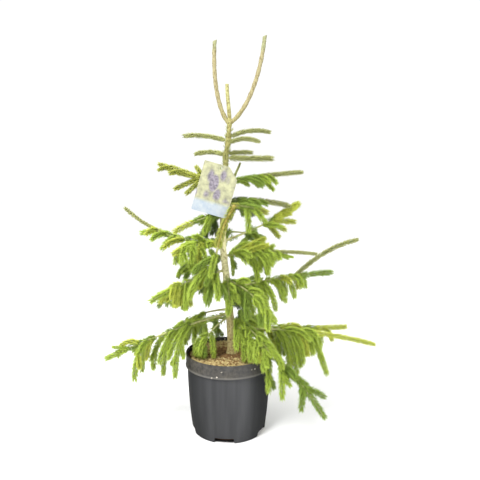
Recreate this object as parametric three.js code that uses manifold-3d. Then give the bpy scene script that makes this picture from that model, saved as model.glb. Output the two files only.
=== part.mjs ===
// A young oriental spruce in a black nursery pot, with a picture label strapped to its stem.
// Units are millimetres and +Z is up. The origin is the middle of the pot's flat underside.
// Bearings are degrees from +X towards +Y. A viewer in front of the plant looks along +Y.
import * as THREE from "three";
import { mergeVertices } from "three/addons/utils/BufferGeometryUtils.js";
import Module from "manifold-3d";

const wasm = await Module();
wasm.setup();

// Driving dimensions

const GAP = 0.3; // clearance that every piece keeps from its neighbour
const SEED = 11;

const POT = {
  height: 212,
  footRadius: 97.5,
  footChamfer: 3,
  bellyRadius: 105.5,
  bellyHeight: 80,
  shoulderRadius: 109.5, // body just under the rim band
  bandHeight: 34,
  bandRadius: 114, // lower edge of the rim band
  rimRadius: 112.8,
  wall: 2.6,
  floor: 3,
  drains: 5,
  drainBearing: 264,
  drainWidth: 51,
  drainHeight: 14,
  drainDepth: 16,
  sides: 40,
};
const SOIL = { edge: 201, crown: 206, moundRadius: 62, trunkSeat: 26 };
const TRUNK = {
  foot: SOIL.crown + GAP,
  tip: 900,
  footRadius: 11,
  tipRadius: 4.4,
  flare: 5.5,
  flareHeight: 13,
  swayY: 3,
  swayHalfWave: 290,
  sides: 10,
  steps: 22,
};
// The stem's lean to the side at a few heights: [height, X]
const LEAN = [
  [206, 8.5], [300, 4], [395, -5], [500, -14], [620, -13], [720, -6], [768, 1], [805, 4], [900, -2],
];
const LEADER = { radius: 5.2, tipRadius: 4.6, sides: 7, steps: 14 };
const LIMB = { rootRadius: 2.3, radiusPerLength: 0.005, tipShare: 0.75, sides: 5, stepLength: 36 };
const STEM = { plainLength: 11, ringLength: 34 };
const NEEDLES = { core: 3.6, reach: 10.4, topReach: 7.2, lean: 5, ring: 16, sides: 3 };
const TWIG = { rootRadius: 2, segments: 6, shortest: 26, clear: 0.8, tries: 3, taper: 0.5 };
const LABEL = {
  width: 92,
  height: 127,
  corner: 27, // clipped top corner
  holeRadius: 3.4,
  holeDrop: 8,
  thickness: 0.8,
  middle: [-31, -22, 640],
  turn: 16, // degrees clockwise as the viewer sees it
  lean: 4, // degrees, top of the card nearer the stem
};
const STRAP = { width: 5, thickness: 0.8, past: 2.4, clear: 0.7 };

// Both leaders and every bough grow from the stem at a height, on a bearing, for a length along
// the curve. The curve rises at `rise` degrees at its root and `tipRise` at its tip, and an `ease`
// under 1 puts most of the bend near the root.
const LEADERS = [
  { name: "left", height: 803, bearing: 178, length: 202, rise: 0, tipRise: 94, ease: 0.18 },
  { name: "right", height: 805, bearing: 2, length: 228, rise: 0, tipRise: 84, ease: 0.25 },
];

// `limb` is the bare woody length before the foliage, `twigs` the count of side twigs, `twig` the
// length of the longest, `splay` their angle off the stem, `rolls` their spread about it and `droop` how
// far they turn to hang. Twigs stand from the share `from` to the share `to` of the clothed stem. `reach`
// is how far the needles stand out where that isn't the usual. `forks` are single shoots that the even row
// of twigs leaves out. A bough with `on` grows from that bough, `at` millimetres along it.
const BOUGHS = [
  // first whorl under the leaders: single clothed shoots
  { name: "first_left", height: 760, bearing: 185, length: 103, rise: 19, tipRise: -5 },
  { name: "first_right", height: 769, bearing: 22, length: 109, rise: 27, tipRise: -10 },
  { name: "first_front_right", height: 754, bearing: 333, length: 80, rise: 27, tipRise: -21 },
  { name: "first_back", height: 764, bearing: 92, length: 96, rise: 18, tipRise: -2 },
  // second whorl
  { name: "second_left", height: 725, bearing: 175, length: 70, rise: 22, tipRise: -16 },
  { name: "second_right", height: 730, bearing: 34, length: 72, rise: 6, tipRise: -1 },
  { name: "second_front_right", height: 719, bearing: 345, length: 110, rise: -2, tipRise: 0, reach: 9.4 },
  { name: "second_back", height: 724, bearing: 92, length: 92, rise: 10, tipRise: -4 },
  // third whorl
  { name: "third_left", height: 646, bearing: 181, length: 162, rise: 23, tipRise: 16,
    twigs: 4, twig: 44, from: 0.62, to: 0.95, splay: 40, droop: 0.3,
    forks: [
      { at: 0.36, side: 1, roll: -85, splay: 40, droop: 0.1, length: 70 },
      { at: 0.33, side: -1, roll: -80, splay: 60, droop: 0.1, length: 54 },
      { at: 0.3, side: 1, roll: 80, splay: 35, droop: 0, length: 36 },
      { at: 0.34, side: 1, roll: -20, splay: 14, droop: 0.05, length: 88 },
      { at: 0.36, side: -1, roll: -30, splay: 12, droop: 0.05, length: 66 },
    ] },
  { name: "third_right", height: 657, bearing: 12, length: 200, rise: 11, tipRise: 3,
    twigs: 8, twig: 66, from: 0.16, to: 0.54, splay: 44, droop: 0.5,
    forks: [
      { at: 0.11, side: 1, roll: 85, splay: 56, droop: 0, length: 48, reach: 4 },
      { at: 0.45, side: 1, roll: -80, splay: 46, droop: 0.15, length: 48 },
    ] },
  { name: "third_back", height: 668, bearing: 98, length: 175, rise: 8, tipRise: 2,
    twigs: 6, twig: 64, from: 0.2, to: 0.8, splay: 48, droop: 0.35 },
  // fourth whorl
  { name: "fourth_right", height: 611, bearing: 20, length: 178, rise: 3, tipRise: -14,
    twigs: 6, twig: 56, from: 0.12, to: 0.5, splay: 34, droop: 0.4 },
  { name: "fourth_front_right", height: 597, bearing: 322, length: 128, rise: 8, tipRise: -15, limb: 44,
    twigs: 3, twig: 52, from: 0.35, to: 0.85, splay: 34, droop: 0.3,
    forks: [
      { at: 0.3, side: 1, roll: -85, splay: 72, droop: 0.7, length: 58 },
      { at: 0.5, side: -1, roll: -70, splay: 28, droop: 0.3, length: 42 },
    ] },
  { name: "front_arch", on: "fourth_front_right", at: 39, bearing: 233, length: 214, rise: -34,
    tipRise: -90, ease: 0.75, limb: 118, thick: 1.2,
    twigs: 11, twig: 124, from: 0.2, to: 0.97, splay: 66, rolls: 180, droop: 0.74 },
  { name: "fourth_left", height: 578, bearing: 202, length: 126, rise: -7, tipRise: -28,
    twigs: 5, twig: 60, from: 0.25, to: 0.7, splay: 46, droop: 0.6 },
  { name: "fourth_back_left", height: 594, bearing: 142, length: 104, rise: -40, tipRise: -52,
    twigs: 4, twig: 58, from: 0.25, to: 0.75, splay: 44, droop: 0.6 },
  { name: "fourth_back_right", height: 604, bearing: 68, length: 160, rise: -2, tipRise: -14,
    twigs: 6, twig: 68, from: 0.2, to: 0.8, splay: 48, droop: 0.5 },
  // fifth whorl
  { name: "fifth_left", height: 501, bearing: 178, length: 266, rise: -4, tipRise: 43, limb: 84,
    reach: 6, twigs: 7, twig: 66, from: 0.04, to: 0.46, splay: 44, droop: 0.5,
    forks: [{ at: 0.46, side: 1, roll: -88, splay: 38, droop: 0, length: 38 }] },
  { name: "fifth_right_back", height: 506, bearing: 25, length: 231, rise: 14, tipRise: 29, limb: 68,
    reach: 13, twigs: 4, twig: 60, from: 0.1, to: 0.6, splay: 30, droop: 0.3,
    forks: [
      { at: 0.45, side: -1, roll: -80, splay: 28, droop: 0.05, length: 74 },
      { at: 0.4, side: 1, roll: -85, splay: 46, droop: 0.1, length: 52 },
      { at: 0.36, side: -1, roll: -85, splay: 66, droop: 0.1, length: 54 },
    ] },
  { name: "fifth_right", height: 467, bearing: 350, length: 229, rise: 11, tipRise: -5,
    reach: 6, twigs: 10, twig: 108, from: 0.08, to: 0.57, splay: 48, rolls: 100, droop: 0.86,
    forks: [
      { at: 0.1, side: -1, roll: 70, splay: 22, droop: 0.1, length: 90 },
      { at: 0.25, side: 1, roll: 70, splay: 25, droop: 0.2, length: 60 },
      { at: 0.085, side: 1, roll: -88, splay: 88, droop: 0.9, length: 52, reach: 6 },
      { at: 0.5, side: 1, roll: -80, splay: 12, droop: 0.05, length: 62, reach: 4 },
    ] },
  { name: "fifth_front_left", height: 496, bearing: 222, length: 148, rise: 19, tipRise: -23,
    twigs: 10, twig: 84, from: 0.14, to: 0.85, splay: 50, rolls: 90, droop: 0.76 },
  { name: "fifth_back_right", height: 530, bearing: 60, length: 225, rise: -4, tipRise: -18,
    twigs: 9, twig: 92, from: 0.12, to: 0.85, splay: 50, droop: 0.72 },
  { name: "fifth_back_left", height: 462, bearing: 128, length: 205, rise: -8, tipRise: -20,
    twigs: 8, twig: 90, from: 0.15, to: 0.85, splay: 48, droop: 0.72 },
  // sixth whorl
  { name: "sixth_right", height: 379, bearing: 357, length: 264, rise: 15, tipRise: 5, limb: 56,
    twigs: 9, twig: 88, from: 0.04, to: 0.62, splay: 46, droop: 0.85,
    forks: [{ at: 0.56, side: 1, roll: 90, splay: 39, droop: 0.37, length: 184, reach: 8 }] },
  { name: "sixth_left", height: 430, bearing: 212, length: 206, rise: -6, tipRise: -23, limb: 36,
    twigs: 8, twig: 90, from: 0.05, to: 0.64, splay: 46, droop: 0.78,
    forks: [
      { at: 0.04, side: 1, roll: -80, splay: 72, droop: 0.8, length: 84 },
      { at: 0.16, side: 1, roll: -80, splay: 80, droop: 0.8, length: 58 },
    ] },
  { name: "sixth_back_left", height: 392, bearing: 150, length: 225, rise: -8, tipRise: -20, limb: 60,
    twigs: 8, twig: 88, from: 0.06, to: 0.85, splay: 46, droop: 0.8 },
  { name: "sixth_back_right", height: 396, bearing: 66, length: 270, rise: -8, tipRise: -22, limb: 66,
    twigs: 8, twig: 100, from: 0.05, to: 0.85, splay: 46, droop: 0.82,
    forks: [{ at: 0.03, side: 1, roll: -88, splay: 85, droop: 0.9, length: 104 }] },
  { name: "sixth_front_right", height: 402, bearing: 308, length: 186, rise: 2, tipRise: -42,
    twigs: 12, twig: 90, from: 0.1, to: 0.9, splay: 50, rolls: 190, droop: 0.72,
    forks: [{ at: 0.13, side: 1, roll: -85, splay: 75, droop: 0.9, length: 98 }] },
  // lowest whorl: long boughs whose twigs hang like a comb
  { name: "low_left", height: 314, bearing: 190, length: 326, rise: -12, tipRise: -24, limb: 92,
    twigs: 11, twig: 150, from: 0.04, to: 0.85, splay: 46, droop: 0.95,
    forks: [
      { at: 0.12, side: -1, roll: -88, splay: 88, droop: 0.8, length: 128 },
      { at: 0.74, side: -1, roll: 75, splay: 32, droop: 0, length: 40, reach: 6 },
    ] },
  { name: "low_right", height: 277, bearing: 352, length: 362, rise: -1, tipRise: -14, ease: 2.5, limb: 96,
    reach: 8.5, twigs: 11, twig: 124, from: 0.03, to: 0.36, splay: 46, droop: 0.95,
    forks: [
      { at: 0.4, side: 1, roll: -88, splay: 60, droop: 0.3, length: 114 },
      { at: 0.05, side: 1, roll: -85, splay: 75, droop: 0.9, length: 84 },
    ] },
  { name: "low_front_right", height: 266, bearing: 322, length: 320, rise: -6, tipRise: -51, limb: 54,
    twigs: 9, twig: 112, from: 0.06, to: 0.58, splay: 48, droop: 0.95,
    forks: [
      { at: 0.7, side: -1, roll: 30, splay: 40, droop: 0.25, length: 52 },
      { at: 0.7, side: 1, roll: -40, splay: 50, droop: 0.7, length: 50 },
    ] },
  { name: "low_front_left", height: 304, bearing: 215, length: 124, rise: -12, tipRise: -72,
    twigs: 8, twig: 62, from: 0.5, to: 0.97, splay: 44, rolls: 170, droop: 0.85,
    forks: [
      { at: 0.1, side: -1, roll: -20, splay: 57, droop: 0.95, length: 104 },
      { at: 0.14, side: -1, roll: -15, splay: 46, droop: 0.95, length: 98 },
      { at: 0.18, side: -1, roll: -20, splay: 64, droop: 0.95, length: 92 },
      { at: 0.7, side: 1, roll: -10, splay: 40, droop: 0.75, length: 52 },
    ] },
  { name: "low_back_left", height: 324, bearing: 154, length: 172, rise: -8, tipRise: -38, limb: 56,
    twigs: 8, twig: 90, from: 0.05, to: 0.85, splay: 46, droop: 0.9 },
  { name: "low_back_right", height: 291, bearing: 20, length: 345, rise: -15, tipRise: -2, limb: 44,
    twigs: 12, twig: 112, from: 0.05, to: 0.75, splay: 46, droop: 0.92 },
  { name: "low_back", height: 292, bearing: 72, length: 290, rise: -10, tipRise: -20, limb: 48,
    twigs: 9, twig: 108, from: 0.05, to: 0.85, splay: 46, droop: 0.9 },
  { name: "low_far_left", height: 298, bearing: 116, length: 262, rise: -12, tipRise: -26, limb: 80,
    twigs: 8, twig: 104, from: 0.05, to: 0.85, splay: 46, droop: 0.9 },
  // short boughs that hang in front of the stem
  { name: "sixth_front", height: 416, bearing: 276, length: 118, rise: 4, tipRise: -52,
    twigs: 10, twig: 80, from: 0.12, to: 0.9, splay: 54, rolls: 190, droop: 0.75,
    forks: [
      { at: 0.1, side: 1, roll: -60, splay: 80, droop: 0.8, length: 92 },
      { at: 0.3, side: 1, roll: -20, splay: 40, droop: 0.9, length: 96 },
    ] },
  { name: "low_front", height: 296, bearing: 307, length: 168, rise: 8, tipRise: -40,
    twigs: 11, twig: 96, from: 0.08, to: 0.95, splay: 46, rolls: 130, droop: 0.86 },
];

// The crown is open in places. Each opening is an oval shaft that runs from the viewer's eye through the
// crown: [x, z, half width, half height] where it crosses the upright plane of the stem.
const EYE = new THREE.Vector3(30.2, -1328, 698.6);
const OPENINGS = [
  [40, 432, 17, 14], [-92, 539, 32, 19], [25, 544, 21, 25], [77, 540, 10, 13], [-55, 484, 10, 9],
  [-22, 482, 10, 12], [9, 489, 8, 7], [-24, 433, 8, 19], [-98, 424, 5, 7], [-17, 334, 16, 22],
  [-78, 330, 18, 20], [4, 265, 16, 38], [-51, 280, 9, 18], [-99, 252, 6, 25],
  [88, 416, 5, 7], [-154, 312, 52, 22], [145, 443, 31, 19], [-203, 268, 42, 19], [-300, 153, 38, 39],
  [-220, 118, 16, 17], [-190, 146, 13, 34], [-160, 157, 11, 28], [194, 296, 48, 14], [305, 196, 35, 42],
  [215, 168, 11, 34], [176, 83, 16, 51], [217, 35, 11, 32], [261, 46, 19, 20], [201, 366, 24, 21],
  [112, 584, 13, 13], [-226, 506, 21, 20], [-172, 467, 16, 21], [-157, 435, 21, 37], [-85, 355, 11, 22],
  [56, 638, 31, 13], [269, 214, 15, 27], [225, 14, 18, 27], [-6, 452, 8, 52], [-271, 189, 24, 18],
  [101, 574, 10, 16], [135, 491, 20, 9],
];

// Finishes

const finish = (color, roughness) => new THREE.MeshStandardMaterial({ color, roughness, metalness: 0 });
const FINISH = {
  pot: finish(0x2c2d30, 0.55),
  soil: finish(0x5a4026, 0.95),
  bark: finish(0x9a8455, 0.85),
  shoot: finish(0xb3a067, 0.8),
  needles: finish(0x7d9a35, 0.65),
  label: finish(0xdfe3c0, 0.35),
};

// Small helpers

const UP = new THREE.Vector3(0, 0, 1);
const DOWN = new THREE.Vector3(0, 0, -1);
const EAST = new THREE.Vector3(1, 0, 0);
const radians = THREE.MathUtils.degToRad;
const lerp = THREE.MathUtils.lerp;

// A repeatable stream of numbers from 0 to 1.
function seeded(seed) {
  let state = seed >>> 0;
  return () => {
    state = (Math.imul(state, 1664525) + 1013904223) >>> 0;
    return state / 4294967296;
  };
}

const heading = (bearing, rise) =>
  new THREE.Vector3(
    Math.cos(radians(bearing)) * Math.cos(radians(rise)),
    Math.sin(radians(bearing)) * Math.cos(radians(rise)),
    Math.sin(radians(rise)),
  );

// Solids: a geometry in, a closed solid out, and back to a mesh at the end

function solidOf(geometry) {
  const bare = geometry.clone();
  bare.deleteAttribute("normal");
  bare.deleteAttribute("uv");
  const merged = mergeVertices(bare);
  return new wasm.Manifold(
    new wasm.Mesh({
      numProp: 3,
      vertProperties: new Float32Array(merged.attributes.position.array),
      triVerts: new Uint32Array(merged.index.array),
    }),
  );
}

// The largest outer body alone: loose scraps are dropped and sealed hollows filled.
const oneBody = (solid) =>
  solid.decompose().reduce((best, body) => (body.volume() > best.volume() ? body : best));

function meshOf(name, solid, material) {
  const { vertProperties, triVerts } = oneBody(solid).getMesh();
  const geometry = new THREE.BufferGeometry();
  geometry.setAttribute("position", new THREE.BufferAttribute(new Float32Array(vertProperties), 3));
  geometry.setIndex(new THREE.BufferAttribute(new Uint32Array(triVerts), 1));
  geometry.computeVertexNormals();
  const mesh = new THREE.Mesh(geometry, material.clone());
  mesh.name = name;
  return mesh;
}

// Frames along a curve: the first side vector is carried from station to station, so no tube twists.
function framesAt(curve, stations) {
  let side = new THREE.Vector3();
  return stations.map((share, i) => {
    const tangent = curve.getTangentAt(share);
    if (i === 0) side.crossVectors(tangent, Math.abs(tangent.z) < 0.9 ? UP : EAST);
    side = side.clone().addScaledVector(tangent, -side.dot(tangent)).normalize();
    const other = new THREE.Vector3().crossVectors(tangent, side);
    return { point: curve.getPointAt(share), tangent, side, other };
  });
}

// A closed tube along a path: a cylinder whose rings are carried to stations on the path. The function
// `shape(ring, corner)` gives each corner's distance from the path and how far it is pushed on along it.
function tube(path, sides, stations, shape) {
  const frames = framesAt(new THREE.CatmullRomCurve3(path), stations);
  const steps = stations.length - 1;
  const cylinder = new THREE.CylinderGeometry(1, 1, 1, sides, steps);
  const position = cylinder.attributes.position;
  for (let i = 0; i < position.count; i++) {
    const [x, y, z] = [position.getX(i), position.getY(i), position.getZ(i)];
    const ring = Math.round((y + 0.5) * steps);
    const corner = Math.round((Math.atan2(x, z) / (2 * Math.PI)) * sides + sides) % sides;
    const { radius, push } = shape(ring, corner);
    const { point, tangent, side, other } = frames[ring];
    const place = point.clone().addScaledVector(side, x * radius).addScaledVector(other, -z * radius);
    if (Math.hypot(x, z) > 0.5) place.addScaledVector(tangent, push);
    position.setXYZ(i, place.x, place.y, place.z);
  }
  return solidOf(cylinder);
}

const evenly = (steps) => Array.from({ length: steps + 1 }, (_, i) => i / steps);

const smoothTube = (path, sides, steps, radiusAt) =>
  tube(path, sides, evenly(steps), (ring) => ({ radius: radiusAt(ring / steps), push: 0 }));

// A twig clothed in needles from the share `plain` on: alternate corners of alternate rings stand out as
// teeth that lean to the tip. The plain root is wood, which sinks into what carries it.
function needledTube(path, length, plain, rootRadius, reach) {
  const woody = Math.ceil((plain * length) / STEM.ringLength);
  const clothed = Math.max(2, Math.round(((1 - plain) * length) / NEEDLES.ring));
  const stations = [
    ...Array.from({ length: woody }, (_, i) => (plain * i) / woody),
    ...Array.from({ length: clothed + 1 }, (_, i) => lerp(plain, 1, i / clothed)),
  ];
  const core = Math.min(NEEDLES.core, reach * 0.6);
  return tube(path, NEEDLES.sides, stations, (ring, corner) => {
    if (ring <= woody) return { radius: lerp(rootRadius, core, ring / woody), push: 0 };
    if (ring === stations.length - 1) return { radius: core, push: 0 };
    const tooth = (ring + corner) % 2 === 0;
    return { radius: tooth ? reach : core, push: tooth ? NEEDLES.lean : 0 };
  });
}

// The stem

function trunkAxis(z) {
  const above = Math.max(1, LEAN.findIndex(([height]) => height >= z));
  const [[z0, x0], [z1, x1]] = LEAN.slice(above - 1, above + 1);
  const phase = (Math.PI * (z - TRUNK.foot)) / TRUNK.swayHalfWave;
  const across = lerp(x0, x1, THREE.MathUtils.smoothstep(z, z0, z1));
  return new THREE.Vector3(across, TRUNK.swayY * Math.sin(phase), z);
}

function trunkRadius(z) {
  const share = (z - TRUNK.foot) / (TRUNK.tip - TRUNK.foot);
  const flare = TRUNK.flare * Math.exp(-(z - TRUNK.foot) / TRUNK.flareHeight);
  return lerp(TRUNK.footRadius, TRUNK.tipRadius, share) + flare;
}

// Rings crowd towards the foot, where the flare bends fastest, and each is level.
function trunkSolid(grown) {
  const { foot, tip, sides, steps } = TRUNK;
  const cylinder = new THREE.CylinderGeometry(1, 1, 1, sides, steps).rotateX(Math.PI / 2);
  const position = cylinder.attributes.position;
  for (let i = 0; i < position.count; i++) {
    const share = Math.pow(position.getZ(i) + 0.5, 1.6);
    const z = lerp(foot, tip, share);
    const axis = trunkAxis(z);
    const radius = trunkRadius(z) + grown;
    position.setXYZ(i, axis.x + position.getX(i) * radius, axis.y + position.getY(i) * radius, z);
  }
  return solidOf(cylinder);
}

// Curves of leaders, boughs and twigs

const PATH_STEPS = 24;

function boughPath({ bearing, length, rise, tipRise, ease = 1 }, root, inset) {
  const points = [root];
  const step = (length + inset) / PATH_STEPS;
  for (let i = 0; i < PATH_STEPS; i++) {
    const share = (i + 0.5) / PATH_STEPS;
    const direction = heading(bearing, lerp(rise, tipRise, Math.pow(share, ease)));
    points.push(points[i].clone().addScaledVector(direction, step));
  }
  return points;
}

const pathFromStem = (grown) => boughPath(grown, trunkAxis(grown.height), trunkRadius(grown.height));

// The stretch of a path between two distances along it.
function stretch(points, from, to, count) {
  const curve = new THREE.CatmullRomCurve3(points);
  const whole = curve.getLength();
  const shareAt = (i) => Math.min(1, lerp(from, to, i / count) / whole);
  return Array.from({ length: count + 1 }, (_, i) => curve.getPointAt(shareAt(i)));
}

// A side twig leaves its stem at `splay` degrees, on one side, and turns down as it grows.
function twigPath(root, tangent, side, roll, splay, droop, length) {
  const across = new THREE.Vector3().crossVectors(tangent, UP).normalize();
  const over = new THREE.Vector3().crossVectors(across, tangent);
  const [tilt, away] = [radians(roll), radians(splay)];
  const out = across.multiplyScalar(side * Math.cos(tilt)).addScaledVector(over, Math.sin(tilt));
  const start = tangent.clone().multiplyScalar(Math.cos(away)).addScaledVector(out, Math.sin(away));
  const points = [root.clone()];
  for (let i = 0; i < TWIG.segments; i++) {
    const hang = droop * Math.pow((i + 0.5) / TWIG.segments, 0.7);
    const direction = start.clone().multiplyScalar(1 - hang).addScaledVector(DOWN, hang).normalize();
    points.push(points[i].clone().addScaledVector(direction, length / TWIG.segments));
  }
  return points;
}

// Room: every limb, stem and twig is kept as a run of capsules that later twigs stay clear of

const taken = [];

function segmentDistance(a, b, c, d) {
  const u = b.clone().sub(a);
  const v = d.clone().sub(c);
  const w = a.clone().sub(c);
  const [uu, uv, vv, uw, vw] = [u.dot(u), u.dot(v), v.dot(v), u.dot(w), v.dot(w)];
  const spread = uu * vv - uv * uv;
  let s = spread > 1e-9 ? THREE.MathUtils.clamp((uv * vw - vv * uw) / spread, 0, 1) : 0;
  const t = THREE.MathUtils.clamp((uv * s + vw) / vv, 0, 1);
  s = THREE.MathUtils.clamp((uv * t - uw) / uu, 0, 1);
  return w.addScaledVector(u, s).addScaledVector(v, -t).length();
}

function claim(owner, points, radius) {
  for (let i = 0; i + 1 < points.length; i++) {
    taken.push({ owner, a: points[i], b: points[i + 1], radius });
  }
}

const potOuter = (z) => (z > POT.height - POT.bandHeight - 20 ? POT.bandRadius : POT.shoulderRadius);

// Clear of the pot, the soil and the label, at this radius round a point.
function clearOfFixed(point, radius) {
  const room = radius + TWIG.clear;
  const across = Math.hypot(point.x, point.y);
  const overWall = across > POT.rimRadius - POT.wall - room && across < potOuter(point.z) + room;
  if (overWall && point.z < POT.height + room) return false;
  if (across <= POT.rimRadius && point.z < SOIL.crown + room) return false;
  if (point.z < room) return false;
  const local = point.clone().applyMatrix4(intoLabel);
  return !(
    Math.abs(local.x) < LABEL.width / 2 + room &&
    Math.abs(local.y) < LABEL.height / 2 + room &&
    Math.abs(local.z) < LABEL.thickness / 2 + room
  );
}

// Whether a point stands in one of the crown's openings.
function inOpening(point) {
  const seen = point.clone().sub(EYE);
  seen.multiplyScalar(EYE.y / -seen.y).add(EYE);
  return OPENINGS.some(([x, z, wide, high]) => Math.hypot((seen.x - x) / wide, (seen.z - z) / high) < 1);
}

// How many segments of a path, from its root, are clear of everything that other owners hold.
function clearSegments(owner, points, radius) {
  for (let i = 0; i + 1 < points.length; i++) {
    const free =
      !inOpening(points[i + 1]) &&
      clearOfFixed(points[i + 1], radius) &&
      taken.every(
        (held) =>
          held.owner === owner ||
          segmentDistance(points[i], points[i + 1], held.a, held.b) > radius + held.radius + TWIG.clear,
      );
    if (!free) return i;
  }
  return points.length - 1;
}

// Label

const labelFrame = new THREE.Matrix4()
  .makeTranslation(...LABEL.middle)
  .multiply(new THREE.Matrix4().makeRotationX(radians(90 - LABEL.lean)))
  .multiply(new THREE.Matrix4().makeRotationZ(radians(-LABEL.turn)));
const intoLabel = labelFrame.clone().invert();

function labelCard() {
  const { width, height, corner, thickness, holeRadius, holeDrop } = LABEL;
  const [half, top] = [width / 2, height / 2];
  const outline = new THREE.Shape();
  outline.moveTo(-half, -top);
  outline.lineTo(half, -top);
  outline.lineTo(half, top - corner);
  outline.lineTo(half - corner, top);
  outline.lineTo(-half, top);
  outline.holes.push(new THREE.Path().absarc(0, top - holeDrop, holeRadius, 0, 2 * Math.PI, true));
  const extrusion = { depth: thickness, bevelEnabled: false, curveSegments: 6 };
  const card = new THREE.ExtrudeGeometry(outline, extrusion);
  card.translate(0, 0, -thickness / 2);
  return solidOf(card.applyMatrix4(labelFrame));
}

// A flat band looped round the stem and drawn to a point that stands through the card's hole.
function labelStrap() {
  const { width, thickness, past, clear } = STRAP;
  const hole = new THREE.Vector3(0, LABEL.height / 2 - LABEL.holeDrop, 0).applyMatrix4(labelFrame);
  const axis = trunkAxis(hole.z);
  const run = hole.clone().sub(axis);
  const inner = trunkRadius(hole.z) + clear;
  const loop = (radius, tip) => {
    const half = Math.acos(radius / tip);
    const points = [new THREE.Vector2(tip, 0)];
    const steps = 14;
    for (let i = 0; i <= steps; i++) {
      const angle = lerp(half, 2 * Math.PI - half, i / steps);
      points.push(new THREE.Vector2(radius * Math.cos(angle), radius * Math.sin(angle)));
    }
    return points;
  };
  const reach = run.length() + past;
  const band = new THREE.Shape(loop(inner + thickness, reach));
  band.holes.push(new THREE.Path(loop(inner, reach - 5 * thickness)));
  const strap = new THREE.ExtrudeGeometry(band, { depth: width, bevelEnabled: false });
  strap.rotateZ(Math.atan2(run.y, run.x)).translate(axis.x, axis.y, hole.z - width / 2);
  return solidOf(strap);
}

// Pot and soil

function lathe(points) {
  const profile = points.map(([radius, z]) => new THREE.Vector2(radius, z));
  return solidOf(new THREE.LatheGeometry(profile, POT.sides).rotateX(Math.PI / 2));
}

const potInner = (z) => lerp(POT.footRadius, POT.rimRadius - 1.2, z / POT.height) - POT.wall;

function potSolid() {
  const { height, footRadius, footChamfer, bellyRadius, bellyHeight, floor } = POT;
  const { shoulderRadius, bandHeight, bandRadius, rimRadius } = POT;
  const bandFoot = height - bandHeight;
  let pot = lathe([
    [0, 0],
    [footRadius - footChamfer, 0],
    [footRadius, footChamfer],
    [bellyRadius, bellyHeight],
    [shoulderRadius, bandFoot - 2],
    [bandRadius, bandFoot],
    [rimRadius, height],
    [potInner(height), height],
    [potInner(floor), floor],
    [0, floor],
  ]);
  for (let i = 0; i < POT.drains; i++) {
    const bearing = radians(POT.drainBearing + (360 / POT.drains) * i);
    const drain = new THREE.BoxGeometry(POT.drainDepth, POT.drainWidth, POT.drainHeight * 2);
    drain.translate(footRadius - POT.drainDepth / 2 + 6, 0, 0).rotateZ(bearing);
    pot = pot.subtract(solidOf(drain));
  }
  return pot;
}

function soilSolid() {
  const bottom = POT.floor + GAP;
  return lathe([
    [0, bottom],
    [potInner(bottom) - GAP, bottom],
    [potInner(SOIL.edge) - GAP, SOIL.edge],
    [SOIL.moundRadius, SOIL.crown - 1],
    [SOIL.trunkSeat, SOIL.crown],
    [0, SOIL.crown],
  ]);
}

// Leaders and boughs

const trunk = trunkSolid(0);
const trunkRoom = trunkSolid(GAP); // what grows from the stem is cut back to this

function leaderSolid(leader) {
  const { radius, tipRadius, sides, steps } = LEADER;
  const shoot = smoothTube(pathFromStem(leader), sides, steps, (share) => lerp(radius, tipRadius, share));
  return shoot.subtract(trunkRoom);
}

const limbRadius = ({ length, thick = 1 }) => (LIMB.rootRadius + length * LIMB.radiusPerLength) * thick;

// A bough's curve starts on the axis of what carries it, `inset` within it. `whole`, `limbEnd` and
// `clothedFrom` are distances along that curve.
function planBough(bough, index, parent) {
  const { limb = 0, twigs = 0 } = bough;
  const root = parent ? stretch(parent.path, bough.at, bough.at, 1)[0] : trunkAxis(bough.height);
  const inset = parent ? limbRadius(parent) : trunkRadius(bough.height);
  return {
    ...bough,
    index,
    parent,
    path: boughPath(bough, root, inset),
    whole: inset + bough.length,
    limbEnd: inset + limb,
    clothedFrom: limb ? inset + limb + GAP : 0,
    plain: limb ? 4 : inset + STEM.plainLength,
    stemRadius: limbRadius(bough) * (limb ? LIMB.tipShare : 0.85),
    reach: bough.reach ?? (twigs ? NEEDLES.reach : NEEDLES.topReach),
  };
}

function limbTube(plan, grown) {
  const points = stretch(plan.path, 0, plan.limbEnd, 12);
  const root = limbRadius(plan);
  const steps = Math.round(plan.limbEnd / LIMB.stepLength) + 1;
  return smoothTube(points, LIMB.sides, steps, (share) => lerp(root, root * LIMB.tipShare, share) + grown);
}

function limbSolid(plan) {
  const carrier = plan.parent ? limbTube(plan.parent, GAP) : trunkRoom;
  return limbTube(plan, 0).subtract(carrier);
}

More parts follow.
